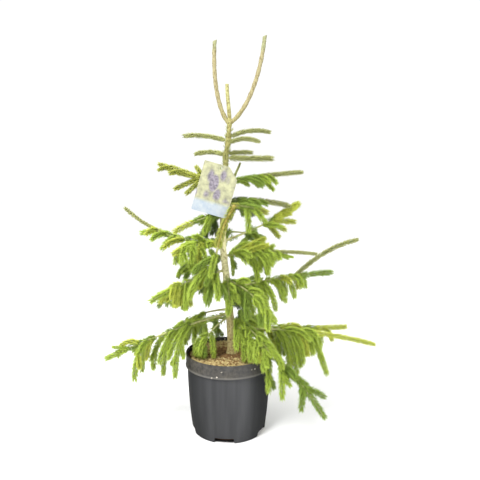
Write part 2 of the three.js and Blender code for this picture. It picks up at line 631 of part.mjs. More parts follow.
// A mass of foliage: the bough's outer stem, with side twigs to left and right by turns. A twig that would
// touch another mass, a limb or the pot is cut short there, or left out where little of it would stay.
function foliageSolid(plan) {
  const random = seeded(SEED + plan.index * 97);
  const { clothedFrom, whole, path, twigs = 0, from = 0, to = 0, rolls = 44 } = plan;
  const stemLength = whole - clothedFrom;
  const stemPoints = stretch(path, clothedFrom, whole, 16);
  const stem = new THREE.CatmullRomCurve3(stemPoints);
  const plain = Math.max(plan.plain / stemLength, twigs ? to - 0.1 : 0);
  let mass = needledTube(stemPoints, stemLength, plain, plan.stemRadius, plan.reach);
  const sprout = ({ at, side, roll, splay, droop, length, reach = NEEDLES.reach }) => {
    const points = twigPath(stem.getPointAt(at), stem.getTangentAt(at), side, roll, splay, droop, length);
    const kept = clearSegments(plan.name, points, reach);
    return { points: points.slice(0, kept + 1), length: (length * kept) / TWIG.segments, reach };
  };
  const keep = ({ points, length, reach }) => {
    if (length < TWIG.shortest) return;
    claim(plan.name, points, reach);
    mass = mass.add(needledTube(points, length, STEM.plainLength / length, TWIG.rootRadius, reach));
  };
  for (const fork of plan.forks ?? []) keep(sprout(fork));
  for (let i = 0; i < twigs; i++) {
    const share = i / (twigs - 1);
    const length = plan.twig * (1 - TWIG.taper * share) * (0.86 + 0.28 * random());
    const sprouts = Array.from({ length: TWIG.tries }, () =>
      sprout({
        at: lerp(from, to, share),
        side: i % 2 ? 1 : -1,
        roll: -12 + rolls * (random() - 0.5),
        splay: plan.splay + 20 * (random() - 0.5),
        droop: plan.droop,
        length,
      }),
    );
    keep(sprouts.reduce((best, other) => (other.length > best.length ? other : best)));
  }
  return plan.limb ? mass : mass.subtract(trunkRoom);
}

// Assembly

const spruce = new THREE.Group();
spruce.name = "potted_oriental_spruce";
const put = (name, solid, material) => spruce.add(meshOf(name, solid, material));

put("pot", potSolid(), FINISH.pot);
put("soil", soilSolid(), FINISH.soil);
put("trunk", trunk, FINISH.bark);
for (const leader of LEADERS) {
  put(`leader_${leader.name}`, leaderSolid(leader), FINISH.shoot);
  claim(`leader_${leader.name}`, stretch(pathFromStem(leader), 12, leader.length, 8), LEADER.radius);
}
put("label_card", labelCard(), FINISH.label);
put("label_strap", labelStrap(), FINISH.label);

const stemAxis = Array.from({ length: 24 }, (_, i) => trunkAxis(lerp(TRUNK.foot, TRUNK.tip, i / 23)));
stemAxis.slice(1).forEach((b, i) => {
  taken.push({ owner: "trunk", a: stemAxis[i], b, radius: trunkRadius(b.z) });
});

const plans = [];
BOUGHS.forEach((bough, index) => {
  plans.push(planBough(bough, index, plans.find(({ name }) => name === bough.on)));
});
for (const plan of plans) {
  if (plan.limb) claim(plan.name, stretch(plan.path, 16, plan.limbEnd, 6), limbRadius(plan));
  claim(plan.name, stretch(plan.path, Math.max(plan.clothedFrom, 22), plan.whole, 8), plan.reach);
}
for (const plan of plans) {
  if (plan.limb) put(`bough_${plan.name}`, limbSolid(plan), FINISH.bark);
  put(`foliage_${plan.name}`, foliageSolid(plan), FINISH.needles);
}

export default spruce;
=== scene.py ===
# %% [markdown]
# # A young oriental spruce in its nursery pot
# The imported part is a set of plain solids: a pot full of soil, a stem with two bare leaders, a picture
# label, and one toothed mass of foliage for every bough. The lesson loads them as a fixed frame and
# dresses them. The tree is grown again by the rule that made the solids, and carried on to fine shoots,
# needles and bark.

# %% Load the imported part
import math

import bmesh
import bpy
import numpy as np
from mathutils import Matrix, Vector, noise


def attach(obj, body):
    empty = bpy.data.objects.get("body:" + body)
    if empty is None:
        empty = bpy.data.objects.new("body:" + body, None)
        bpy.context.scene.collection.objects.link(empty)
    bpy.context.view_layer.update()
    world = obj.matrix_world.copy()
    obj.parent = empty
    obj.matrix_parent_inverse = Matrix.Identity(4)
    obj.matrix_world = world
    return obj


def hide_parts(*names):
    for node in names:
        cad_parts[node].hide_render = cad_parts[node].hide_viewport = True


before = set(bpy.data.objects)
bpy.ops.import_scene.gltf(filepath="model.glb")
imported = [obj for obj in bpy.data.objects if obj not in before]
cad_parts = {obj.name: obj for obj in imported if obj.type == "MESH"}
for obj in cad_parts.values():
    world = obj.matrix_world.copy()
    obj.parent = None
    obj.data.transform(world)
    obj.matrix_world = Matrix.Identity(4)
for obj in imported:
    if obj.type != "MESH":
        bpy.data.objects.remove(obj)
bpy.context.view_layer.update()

# %% [markdown]
# ## Small helpers for nodes and pieces
# Every finish and every Geometry Nodes tree below is wired in code. One helper adds a node, sets its
# options and links or fills its inputs by their names. Another one ends a piece: it fixes the piece to
# the part's only body, hides the solids that it stands for, and prints what it costs.

# %% Helpers
MM = 0.001
FOLIAGE = [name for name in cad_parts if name.startswith("foliage_")]


def socket_named(sockets, label):
    """The socket with this label that the node's present options leave in use."""
    return next(s for s in sockets if s.name == label and s.enabled)


def fill(tree, socket, source):
    """Links a socket to another one, or gives it a value."""
    if isinstance(source, bpy.types.NodeSocket):
        tree.links.new(source, socket)
    else:
        socket.default_value = source


def put(tree, kind, wires=None, **options):
    """Adds a node with its options set, and its inputs linked to sockets or filled with values."""
    node = tree.nodes.new(kind)
    for key, value in options.items():
        setattr(node, key, value)
    for label, source in (wires or {}).items():
        fill(tree, socket_named(node.inputs, label), source)
    return node


def out(node, label):
    return socket_named(node.outputs, label)


def link_in(piece):
    bpy.context.scene.collection.objects.link(piece)
    return piece


def mesh_piece(name, points, faces, edges=()):
    """A mesh from points in millimetres, smooth, with its object at the origin."""
    data = bpy.data.meshes.new(name)
    data.from_pydata((np.asarray(points, float) * MM).tolist(), edges, faces)
    data.shade_smooth()
    data.update()
    return link_in(bpy.data.objects.new(name, data))


def dress(piece, slot, *nodes):
    """Fixes a finished piece to the body and hides the solids it stands for. Its slot is not used."""
    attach(piece, "root")
    if nodes:
        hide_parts(*nodes)
    piece.data.calc_loop_triangles()
    print(f"{piece.name}: {len(piece.data.loop_triangles)} triangles, stands for {len(nodes)} solids")


print("masses of foliage to dress:", len(FOLIAGE))

# %% [markdown]
# ## The stem's line
# A spruce stem is never quite straight. A short table gives its lean at a few heights, and the line
# between them is eased so that it has no corners. A Bezier curve would do as well, but its handles are
# harder to read than heights. The radius falls evenly from foot to tip, with a small flare at the soil.
# These are the same numbers as in the part's source, in millimetres.

# %% Stem
TRUNK = dict(foot=206.3, tip=900.0, foot_radius=11.0, tip_radius=4.4, flare=5.5, flare_height=13.0, sway=3.0,
             half_wave=290.0)
LEAN = [(206, 8.5), (300, 4), (395, -5), (500, -14), (620, -13), (720, -6), (768, 1), (805, 4), (900, -2)]


def mix(a, b, share):
    return a + (b - a) * share


def stem_middle(z):
    above = max(1, next((i for i, (height, _) in enumerate(LEAN) if height >= z), len(LEAN) - 1))
    (z0, x0), (z1, x1) = LEAN[above - 1], LEAN[above]
    share = min(1.0, max(0.0, (z - z0) / (z1 - z0)))
    phase = math.pi * (z - TRUNK["foot"]) / TRUNK["half_wave"]
    return np.array([mix(x0, x1, share * share * (3 - 2 * share)), TRUNK["sway"] * math.sin(phase), z])


def stem_radius(z):
    share = (z - TRUNK["foot"]) / (TRUNK["tip"] - TRUNK["foot"])
    flare = TRUNK["flare"] * math.exp(-(z - TRUNK["foot"]) / TRUNK["flare_height"])
    return mix(TRUNK["foot_radius"], TRUNK["tip_radius"], share) + flare


thick_foot, thick_tip = 2 * stem_radius(TRUNK["foot"]), 2 * TRUNK["tip_radius"]
print("stem", round(thick_foot, 1), "mm thick at the soil,", thick_tip, "at its tip")

# %% [markdown]
# ## The boughs, one entry each
# Each bough leaves the stem at a height, on a bearing, for a length, and bends from one rise to another.
# `limb` is its bare length. `twigs` gives the count, longest length, first and last share, splay and
# droop of its side twigs, `rolls` how widely they spread round the bough, and `reach` how far needles
# stand out. Each `fork` is one more twig, with a place, side, roll, splay, droop and length of its own.
# `on` and `at` set a bough on another one, `ease` says how late it bends and `thick` how stout its limb is.
# Boughs drawn by hand as curves could follow a picture more closely, but a table is quick to tune, and
# the solids share it.
#
# The other values belong to the looks. `tone` says how light the needles are, from 0 for deep green to 3
# for gold. `green` fixes the green of a bough or fork, and `tip` that of a bough's end, which `tip_lifts`
# thickens. `clad` says how thickly needles still sit on older wood, `fine` how many fine shoots grow, and
# `limb_coat` gives the cover, green, reach and lifts of the needles on a limb.

# %% The bough table
SEED = 11


def fork(at, side, roll, splay, droop, length, **more):
    return dict(at=at, side=side, roll=roll, splay=splay, droop=droop, length=length, **more)


def bough(name, height, bearing, length, rise, tip_rise, limb=0, twigs=None, **more):
    return dict(name=name, height=height, bearing=bearing, length=length, rise=rise, tip_rise=tip_rise,
                limb=limb, twigs=twigs, **more)


BOUGHS = [
    bough("first_left", 760, 185, 103, 19, -5, tone="sage"),
    bough("first_right", 769, 22, 109, 27, -10, tone="sage"),
    bough("first_front_right", 754, 333, 80, 27, -21, tone="sage"),
    bough("first_back", 764, 92, 96, 18, -2, tone="sage"),
    bough("second_left", 725, 175, 70, 22, -16, tone="sage"),
    bough("second_right", 730, 34, 72, 6, -1, tone="sage"),
    bough("second_front_right", 719, 345, 110, -2, 0, tone="sage", reach=9.4),
    bough("second_back", 724, 92, 92, 10, -4, tone="sage"),
    bough("third_left", 646, 181, 162, 23, 16, twigs=(4, 44, 0.62, 0.95, 40, 0.3), tone=2.3, clad=0.9,
          fine=0, green="olive",
          forks=[fork(0.36, 1, -85, 40, 0.1, 70), fork(0.33, -1, -80, 60, 0.1, 54),
                 fork(0.3, 1, 80, 35, 0, 36), fork(0.34, 1, -20, 14, 0.05, 88),
                 fork(0.36, -1, -30, 12, 0.05, 66)]),
    bough("third_right", 657, 12, 200, 11, 3, twigs=(8, 66, 0.16, 0.54, 44, 0.5), tone=1.9, clad=0.8,
          fine=0, tip="sage",
          forks=[fork(0.11, 1, 85, 56, 0, 48, reach=4, green="sage"), fork(0.45, 1, -80, 46, 0.15, 48)]),
    bough("third_back", 668, 98, 175, 8, 2, twigs=(6, 64, 0.2, 0.8, 48, 0.35), tone=1.3, clad=0.7),
    bough("fourth_right", 611, 20, 178, 3, -14, twigs=(6, 56, 0.12, 0.5, 34, 0.4), tone=1.1, clad=0.7,
          fine=0, tip="sage"),
    bough("fourth_front_right", 597, 322, 128, 8, -15, 44, (3, 52, 0.35, 0.85, 34, 0.3), tone=1.6, clad=1.0,
          fine=0, tip="olive", limb_coat=(0.9, "olive", 8.0, 0.0),
          forks=[fork(0.3, 1, -85, 72, 0.7, 58), fork(0.5, -1, -70, 28, 0.3, 42)]),
    bough("front_arch", None, 233, 214, -34, -90, 118, (11, 124, 0.2, 0.97, 66, 0.74), tone=1.4, clad=0.3,
          fine=0.4, on="fourth_front_right", at=39, ease=0.75, thick=1.2, rolls=180,
          limb_coat=(0.9, "olive", 10.0, 0.0)),
    bough("fourth_left", 578, 202, 126, -7, -28, twigs=(5, 60, 0.25, 0.7, 46, 0.6), tone=2.0, clad=0.8,
          tip="gold"),
    bough("fourth_back_left", 594, 142, 104, -40, -52, twigs=(4, 58, 0.25, 0.75, 44, 0.6), tone=0.4,
          clad=0.6),
    bough("fourth_back_right", 604, 68, 160, -2, -14, twigs=(6, 68, 0.2, 0.8, 48, 0.5), tone=0.9, clad=0.6),
    bough("fifth_left", 501, 178, 266, -4, 43, 84, (7, 66, 0.04, 0.46, 44, 0.5), tone=2.3, clad=0.5,
          reach=6, tip="sage", fine=0, limb_coat=(0.9, "mid", 6.5, 3.0, 6.5),
          forks=[fork(0.46, 1, -88, 38, 0, 38)]),
    bough("fifth_right_back", 506, 25, 231, 14, 29, 68, (4, 60, 0.1, 0.6, 30, 0.3), tone=2.2, clad=0.5,
          fine=0, tip="gold", reach=13, tip_lifts=(-4.0, 0.0, 4.0),
          forks=[fork(0.45, -1, -80, 28, 0.05, 74), fork(0.4, 1, -85, 46, 0.1, 52),
                 fork(0.36, -1, -85, 66, 0.1, 54)]),
    bough("fifth_right", 467, 350, 229, 11, -5, twigs=(10, 108, 0.08, 0.57, 48, 0.86), tone=2.2, clad=0.5,
          fine=1.0, reach=6, tip="sage", rolls=100,
          forks=[fork(0.1, -1, 70, 22, 0.1, 90), fork(0.25, 1, 70, 25, 0.2, 60),
                 fork(0.085, 1, -88, 88, 0.9, 52, reach=6), fork(0.5, 1, -80, 12, 0.05, 62, reach=4)]),
    bough("fifth_front_left", 496, 222, 148, 19, -23, twigs=(10, 84, 0.14, 0.85, 50, 0.76), tone=2.1,
          clad=0.7, fine=1.2, rolls=90),
    bough("fifth_back_right", 530, 60, 225, -4, -18, twigs=(9, 92, 0.12, 0.85, 50, 0.72), tone=1.3, clad=0.5),
    bough("fifth_back_left", 462, 128, 205, -8, -20, twigs=(8, 90, 0.15, 0.85, 48, 0.72), tone=1.5, clad=0.5),
    bough("sixth_right", 379, 357, 264, 15, 5, 56, (9, 88, 0.04, 0.62, 46, 0.85), tone=2.2, clad=0.6,
          fine=0.3, tip="mid",
          forks=[fork(0.56, 1, 90, 39, 0.37, 184, reach=8, green="sage")]),
    bough("sixth_left", 430, 212, 206, -6, -23, 36, (8, 90, 0.05, 0.64, 46, 0.78), tone=2.5, clad=0.6,
          fine=0.8,
          forks=[fork(0.04, 1, -80, 72, 0.8, 84, green="mid"), fork(0.16, 1, -80, 80, 0.8, 58, green="mid")]),
    bough("sixth_back_left", 392, 150, 225, -8, -20, 60, (8, 88, 0.06, 0.85, 46, 0.8), tone=1.3, clad=0.4),
    bough("sixth_back_right", 396, 66, 270, -8, -22, 66, (8, 100, 0.05, 0.85, 46, 0.82), tone=0.9, clad=0.4,
          forks=[fork(0.03, 1, -88, 85, 0.9, 104)]),
    bough("sixth_front_right", 402, 308, 186, 2, -42, twigs=(12, 90, 0.1, 0.9, 50, 0.72), tone=1.9,
          clad=0.6, fine=0.6, rolls=190,
          forks=[fork(0.13, 1, -85, 75, 0.9, 98)]),
    bough("low_left", 314, 190, 326, -12, -24, 92, (11, 150, 0.04, 0.85, 46, 0.95), tone=2.1, clad=0.7,
          fine=0.6,
          forks=[fork(0.12, -1, -88, 88, 0.8, 128), fork(0.74, -1, 75, 32, 0, 40, reach=6)]),
    bough("low_right", 277, 352, 362, -1, -14, 96, (11, 124, 0.03, 0.36, 46, 0.95), tone=1.9, clad=0.15,
          fine=0.5, tip="gold", ease=2.5, reach=8.5,
          forks=[fork(0.4, 1, -88, 60, 0.3, 114), fork(0.05, 1, -85, 75, 0.9, 84)]),
    bough("low_front_right", 266, 322, 320, -6, -51, 54, (9, 112, 0.06, 0.58, 48, 0.95), tone=1.1, clad=0.6,
          fine=0.8,
          forks=[fork(0.7, -1, 30, 40, 0.25, 52), fork(0.7, 1, -40, 50, 0.7, 50)]),
    bough("low_front_left", 304, 215, 124, -12, -72, twigs=(8, 62, 0.5, 0.97, 44, 0.85), tone=1.8,
          clad=0.15, fine=0, rolls=170,
          forks=[fork(0.1, -1, -20, 57, 0.95, 104), fork(0.14, -1, -15, 46, 0.95, 98),
                 fork(0.18, -1, -20, 64, 0.95, 92), fork(0.7, 1, -10, 40, 0.75, 52)]),
    bough("low_back_left", 324, 154, 172, -8, -38, 56, (8, 90, 0.05, 0.85, 46, 0.9), tone=2.0, clad=0.2,
          fine=0.4),
    bough("low_back_right", 291, 20, 345, -15, -2, 44, (12, 112, 0.05, 0.75, 46, 0.92), tone=2.2, clad=0.3,
          fine=0.4),
    bough("low_back", 292, 72, 290, -10, -20, 48, (9, 108, 0.05, 0.85, 46, 0.9), tone=1.2, clad=0.3),
    bough("low_far_left", 298, 116, 262, -12, -26, 80, (8, 104, 0.05, 0.85, 46, 0.9), tone=1.2, clad=0.3),
    bough("sixth_front", 416, 276, 118, 4, -52, twigs=(10, 80, 0.12, 0.9, 54, 0.75), tone=1.9, clad=0.6,
          fine=0.6, rolls=190,
          forks=[fork(0.1, 1, -60, 80, 0.8, 92), fork(0.3, 1, -20, 40, 0.9, 96)]),
    bough("low_front", 296, 307, 168, 8, -40, twigs=(11, 96, 0.08, 0.95, 46, 0.86), tone=1.9, clad=0.4,
          fine=0.8, rolls=130),
]
LEADERS = [
    dict(name="left", height=803, bearing=178, length=202, rise=0, tip_rise=94, ease=0.18),
    dict(name="right", height=805, bearing=2, length=228, rise=0, tip_rise=84, ease=0.25),
]
print("boughs:", len(BOUGHS), "of which", sum(b["limb"] > 0 for b in BOUGHS), "have a bare limb")

# %% [markdown]
# ## Lines that grow
# A bough is a walk of short steps whose heading turns a little each time. A twig leaves it to one side
# and turns down as it grows. Curves could do this too, but plain arrays let every twig ask how far it is
# from the others.

# %% Paths
UP = np.array([0.0, 0.0, 1.0])
BOUGH_STEPS = 24
TWIG_STEPS = 6


def seeded(seed):
    """A repeatable stream of numbers from 0 to 1, the same one as in the part's source."""
    state = seed

    def draw():
        nonlocal state
        state = (state * 1664525 + 1013904223) % 4294967296
        return state / 4294967296

    return draw


def heading(bearing, rise):
    b, r = math.radians(bearing), math.radians(rise)
    return np.array([math.cos(b) * math.cos(r), math.sin(b) * math.cos(r), math.sin(r)])


def grown_path(plant, root, inset):
    """The walk of a bough or leader, from its root inside the wood that carries it."""
    points = [root]
    for i in range(BOUGH_STEPS):
        share = ((i + 0.5) / BOUGH_STEPS) ** plant.get("ease", 1)
        turn = heading(plant["bearing"], mix(plant["rise"], plant["tip_rise"], share))
        points.append(points[-1] + turn * (plant["length"] + inset) / BOUGH_STEPS)
    return np.array(points)


def measured(points):
    """Distance along a path at each of its points."""
    return np.concatenate([[0], np.cumsum(np.linalg.norm(np.diff(points, axis=0), axis=1))])


def stretch(points, start, end, count):
    """The part of a path between two distances along it, as count steps."""
    along = measured(points)
    want = np.linspace(start, end, count + 1)
    return np.column_stack([np.interp(want, along, points[:, k]) for k in range(3)])


def unit(vector):
    return vector / np.linalg.norm(vector)


def twig_path(root, tangent, side, roll, splay, droop, length, segments=TWIG_STEPS):
    across = unit(np.cross(tangent, UP))
    over = np.cross(across, tangent)
    tilt, away = math.radians(roll), math.radians(splay)
    outward = across * side * math.cos(tilt) + over * math.sin(tilt)
    start = tangent * math.cos(away) + outward * math.sin(away)
    points = [root]
    for i in range(segments):
        hang = droop * ((i + 0.5) / segments) ** 0.7
        points.append(points[-1] + unit(start * (1 - hang) - UP * hang) * length / segments)
    return np.array(points)


print("a bough is walked in", BOUGH_STEPS, "steps, a twig in", TWIG_STEPS)

# %% [markdown]
# ## Room for every twig
# The source keeps each limb and twig as a row of capsules, and a new twig is cut short where it would
# come too close to another bough's capsule, the pot, the soil or the label. Blender's own collision tools
# work on finished meshes and come too late for that. The source's test is repeated here, on whole arrays
# at once, so the twigs come out where the solids are.

# %% Room
POT = dict(height=212, foot_radius=97.5, belly_radius=105.5, belly_height=80, shoulder_radius=109.5,
           shoulder_height=174, band_height=34, band_radius=114, rim_radius=112.8, wall=2.6, floor=3, lip=1.2)
SOIL = dict(edge=201, edge_radius=109, crown=206, mound=205, mound_radius=62, trunk_seat=26)
LABEL = dict(width=92, height=127, corner=27, hole_radius=3.4, hole_drop=8, thickness=0.8,
             middle=(-31, -22, 640), turn=16, lean=4)
CLEAR = 0.8
BELOW_BAND = 20
label_frame = (Matrix.Translation(LABEL["middle"]) @ Matrix.Rotation(math.radians(90 - LABEL["lean"]), 4, "X")
               @ Matrix.Rotation(math.radians(-LABEL["turn"]), 4, "Z"))
into_label = label_frame.inverted()
taken = np.zeros((0, 8))  # two ends, radius and owner of each capsule


def claim(owner, points, radius):
    global taken
    count = len(points) - 1
    rows = np.column_stack([points[:-1], points[1:], np.full(count, radius), np.full(count, owner)])
    taken = np.vstack([taken, rows])


def gaps_to(a, b, held):
    """Shortest distance from the line a to b to each held capsule's line."""
    c, d = held[:, 0:3], held[:, 3:6]
    u, v, w = b - a, d - c, a - c
    uu, vv, uv, uw, vw = u @ u, (v * v).sum(1), v @ u, w @ u, (v * w).sum(1)
    spread = uu * vv - uv * uv
    s = np.where(spread > 1e-9, np.clip((uv * vw - vv * uw) / np.maximum(spread, 1e-9), 0, 1), 0)
    t = np.clip((uv * s + vw) / vv, 0, 1)
    s = np.clip((uv * t - uw) / uu, 0, 1)
    return np.linalg.norm(w + s[:, None] * u - t[:, None] * v, axis=1)


def clear_of_fixed(point, radius):
    """Whether a round of this radius is clear of the pot's wall, the soil, the floor and the label."""
    room = radius + CLEAR
    across = math.hypot(point[0], point[1])
    in_band = point[2] > POT["height"] - POT["band_height"] - BELOW_BAND
    outer = POT["band_radius"] if in_band else POT["shoulder_radius"]
    if POT["rim_radius"] - POT["wall"] - room < across < outer + room and point[2] < POT["height"] + room:
        return False
    if across <= POT["rim_radius"] and point[2] < SOIL["crown"] + room:
        return False
    on_card = into_label @ Vector(point)
    card = (LABEL["width"] / 2, LABEL["height"] / 2, LABEL["thickness"] / 2)
    return point[2] >= room and any(abs(on_card[k]) >= card[k] + room for k in range(3))


print("room kept between pieces:", CLEAR, "mm")

# %% [markdown]
# ## Sky through the crown
# The gaps between sprays matter as much as the sprays, and the viewer sees sky through some places in the
# crown. Each is kept as an oval in the plane of the stem, by its middle, half width and half height. A
# twig ends where it would stand between the viewer and such an opening. Cutting the finished needles
# would leave sheared edges, so the growth itself stops there.

# %% Open sky
VIEWER = np.array([30.2, -1328.0, 698.6])
OPEN_SKY = [(40, 432, 17, 14), (-92, 539, 32, 19), (25, 544, 21, 25), (77, 540, 10, 13), (-55, 484, 10, 9),
            (-22, 482, 10, 12), (9, 489, 8, 7), (-24, 433, 8, 19), (-98, 424, 5, 7), (-17, 334, 16, 22),
            (-78, 330, 18, 20), (4, 265, 16, 38), (-51, 280, 9, 18), (-99, 252, 6, 25), (88, 416, 5, 7),
            (-154, 312, 52, 22), (145, 443, 31, 19), (-203, 268, 42, 19), (-300, 153, 38, 39),
            (-220, 118, 16, 17), (-190, 146, 13, 34), (-160, 157, 11, 28), (194, 296, 48, 14),
            (305, 196, 35, 42), (215, 168, 11, 34), (176, 83, 16, 51), (217, 35, 11, 32), (261, 46, 19, 20),
            (201, 366, 24, 21), (112, 584, 13, 13), (-226, 506, 21, 20), (-172, 467, 16, 21),
            (-157, 435, 21, 37), (-85, 355, 11, 22), (56, 638, 31, 13), (269, 214, 15, 27),
            (225, 14, 18, 27), (-6, 452, 8, 52), (-271, 189, 24, 18), (101, 574, 10, 16), (135, 491, 20, 9)]


def in_open_sky(points):
    """Which points hide one of the openings from the viewer."""
    seen = VIEWER + (points - VIEWER) * (-VIEWER[1] / (points[:, 1:2] - VIEWER[1]))
    hidden = np.zeros(len(points), bool)
    for x, z, wide, high in OPEN_SKY:
        hidden |= ((seen[:, 0] - x) / wide) ** 2 + ((seen[:, 2] - z) / high) ** 2 < 1
    return hidden


def clear_segments(owner, points, radius):
    """How many steps of a twig have room."""
    others, hidden = taken[taken[:, 7] != owner], in_open_sky(points)
    for i in range(len(points) - 1):
        if hidden[i + 1] or not clear_of_fixed(points[i + 1], radius):
            return i
        if (gaps_to(points[i], points[i + 1], others) <= radius + others[:, 6] + CLEAR).any():
            return i
    return len(points) - 1


print("openings kept:", len(OPEN_SKY))

# %% [markdown]
# ## Growing the crown
# First every leader, limb and bough line claims its room. A bough may also leave another bough, as the
# arch in front does. What is kept of each is a plan: its path, its bare and its clothed stretch and its
# twigs.

# %% Boughs claim their room
NEEDLED = dict(reach=10.4, top_reach=7.2)
LIMB = dict(root_radius=2.3, radius_per_length=0.005, tip_share=0.75, gap=0.3)
LEADER_ROOM = 5.2


def limb_radius(plant):
    return (LIMB["root_radius"] + plant["length"] * LIMB["radius_per_length"]) * plant.get("thick", 1)


plans = {}
for index, plant in enumerate(BOUGHS):
    parent = plans.get(plant.get("on"))
    if parent:
        root, inset = stretch(parent["path"], plant["at"], plant["at"], 1)[0], limb_radius(parent)
    else:
        root, inset = stem_middle(plant["height"]), stem_radius(plant["height"])
    usual_reach = NEEDLED["reach"] if plant["twigs"] else NEEDLED["top_reach"]
    plans[plant["name"]] = dict(
        plant, index=index, inset=inset, path=grown_path(plant, root, inset), whole=inset + plant["length"],
        limb_end=inset + plant["limb"], clothed=inset + plant["limb"] + LIMB["gap"] if plant["limb"] else 0,
        reach=plant.get("reach", usual_reach), grown=[])

for order, leader in enumerate(LEADERS):
    leader["path"] = grown_path(leader, stem_middle(leader["height"]), stem_radius(leader["height"]))
    claim(-2 - order, stretch(leader["path"], 12, leader["length"], 8), LEADER_ROOM)
heights = np.linspace(TRUNK["foot"], TRUNK["tip"], 24)
for low, high in zip(heights, heights[1:]):
    claim(-1, np.array([stem_middle(low), stem_middle(high)]), stem_radius(high))
for plan in plans.values():
    if plan["limb"]:
        claim(plan["index"], stretch(plan["path"], 16, plan["limb_end"], 6), limb_radius(plan))
    claim(plan["index"], stretch(plan["path"], max(plan["clothed"], 22), plan["whole"], 8), plan["reach"])
print("capsules claimed by the bare skeleton:", len(taken))

# %% [markdown]
# ## Side twigs
# Then the side twigs grow, bough by bough. The forks of the table come first, and the rest draw their
# length, roll and splay by chance. Each of these has three tries and keeps the longest, which is how a
# plant fills the light that is left to it.

# %% Twigs
TWIG = dict(shortest=26, tries=3, shrink=0.5, roll=-12, rolls=44, splay_spread=20)


def sprout(plan, stem, at, side, roll, splay, droop, length, reach=NEEDLED["reach"], green=None):
    along = measured(stem)[-1]
    root, ahead = stretch(stem, at * along, min(at * along + 2, along), 1)
    points = twig_path(root, unit(ahead - root), side, roll, splay, droop, length)
    kept = clear_segments(plan["index"], points, reach)
    return dict(points=points[:kept + 1], length=length * kept / TWIG_STEPS, reach=reach, green=green)


def keep(plan, twig):
    if twig["length"] >= TWIG["shortest"]:
        claim(plan["index"], twig["points"], twig["reach"])
        plan["grown"].append(twig)


for plan in plans.values():
    stem = stretch(plan["path"], plan["clothed"], plan["whole"], 16)
    plan["stem"] = stem
    draw = seeded(SEED + plan["index"] * 97)
    for offshoot in plan.get("forks", []):
        keep(plan, sprout(plan, stem, **offshoot))
    if not plan["twigs"]:
        continue
    count, longest, first, last, splay, droop = plan["twigs"]
    for i in range(count):
        share = i / (count - 1)
        length = longest * (1 - TWIG["shrink"] * share) * (0.86 + 0.28 * draw())
        side = 1 if i % 2 else -1
        tries = []
        for _ in range(TWIG["tries"]):
            roll = TWIG["roll"] + plan.get("rolls", TWIG["rolls"]) * (draw() - 0.5)
            angle = splay + TWIG["splay_spread"] * (draw() - 0.5)
            tries.append(sprout(plan, stem, mix(first, last, share), side, roll, angle, droop, length))
        keep(plan, max(tries, key=lambda twig: twig["length"]))
grown = [twig for plan in plans.values() for twig in plan["grown"]]
print("twigs:", len(grown), "with", round(sum(t["length"] for t in grown) / 1000, 1), "m of shoot")

# %% [markdown]
# ## Finer shoots
# A real twig forks again. Short side shoots are added on every twig and bough by the same turning rule,
# no longer than the spray they grow in, and they stop at the openings as the twigs do. They are too fine
# for the solids, so only this script grows them. Particle hair could stand for them, but it would carry
# no needles of its own.

# %% Lines of the shoots
SHOOT = dict(shortest=18, segments=4, room=3, fewest_points=6, jitter=0.6, splay_spread=16)


def smooth(points, per_step=3):
    """A rounder line through the same points."""
    p = np.vstack([2 * points[0] - points[1], points, 2 * points[-1] - points[-2]])
    rows = []
    for i in range(1, len(p) - 2):
        for t in np.arange(per_step) / per_step:
            rows.append(0.5 * (2 * p[i] + (p[i + 1] - p[i - 1]) * t
                               + (2 * p[i - 1] - 5 * p[i] + 4 * p[i + 1] - p[i + 2]) * t ** 2
                               + (3 * p[i] - p[i - 1] - 3 * p[i + 1] + p[i + 2]) * t ** 3))
    return np.array(rows + [p[-2]])


def cut_for_sky(points):
    hidden = in_open_sky(points)
    return points[:np.argmax(hidden)] if hidden.any() else points


def side_shoots(line, first, last, count, length_at, splay, droop, rolls, draw):
    """Short shoots to left and right by turns along a line."""
    whole, made = measured(line)[-1], []
    for i in range(count):
        at = mix(first, last, (i + SHOOT["jitter"] * draw()) / max(1, count))
        root, ahead = stretch(line, at * whole, min(at * whole + 2, whole), 1)
        length = length_at(at) * (0.75 + 0.5 * draw())
        turn = (1 if i % 2 else -1, rolls * (draw() - 0.5), splay + SHOOT["splay_spread"] * (draw() - 0.5))
        if np.linalg.norm(ahead - root) < 1e-6 or length < SHOOT["shortest"]:
            continue
        points = twig_path(root, unit(ahead - root), *turn, droop, length, SHOOT["segments"])
        points = cut_for_sky(smooth(points))
        free = [clear_of_fixed(p, SHOOT["room"]) for p in points[2:]]
        if len(points) > SHOOT["fewest_points"] and all(free):
            made.append(points)
    return made


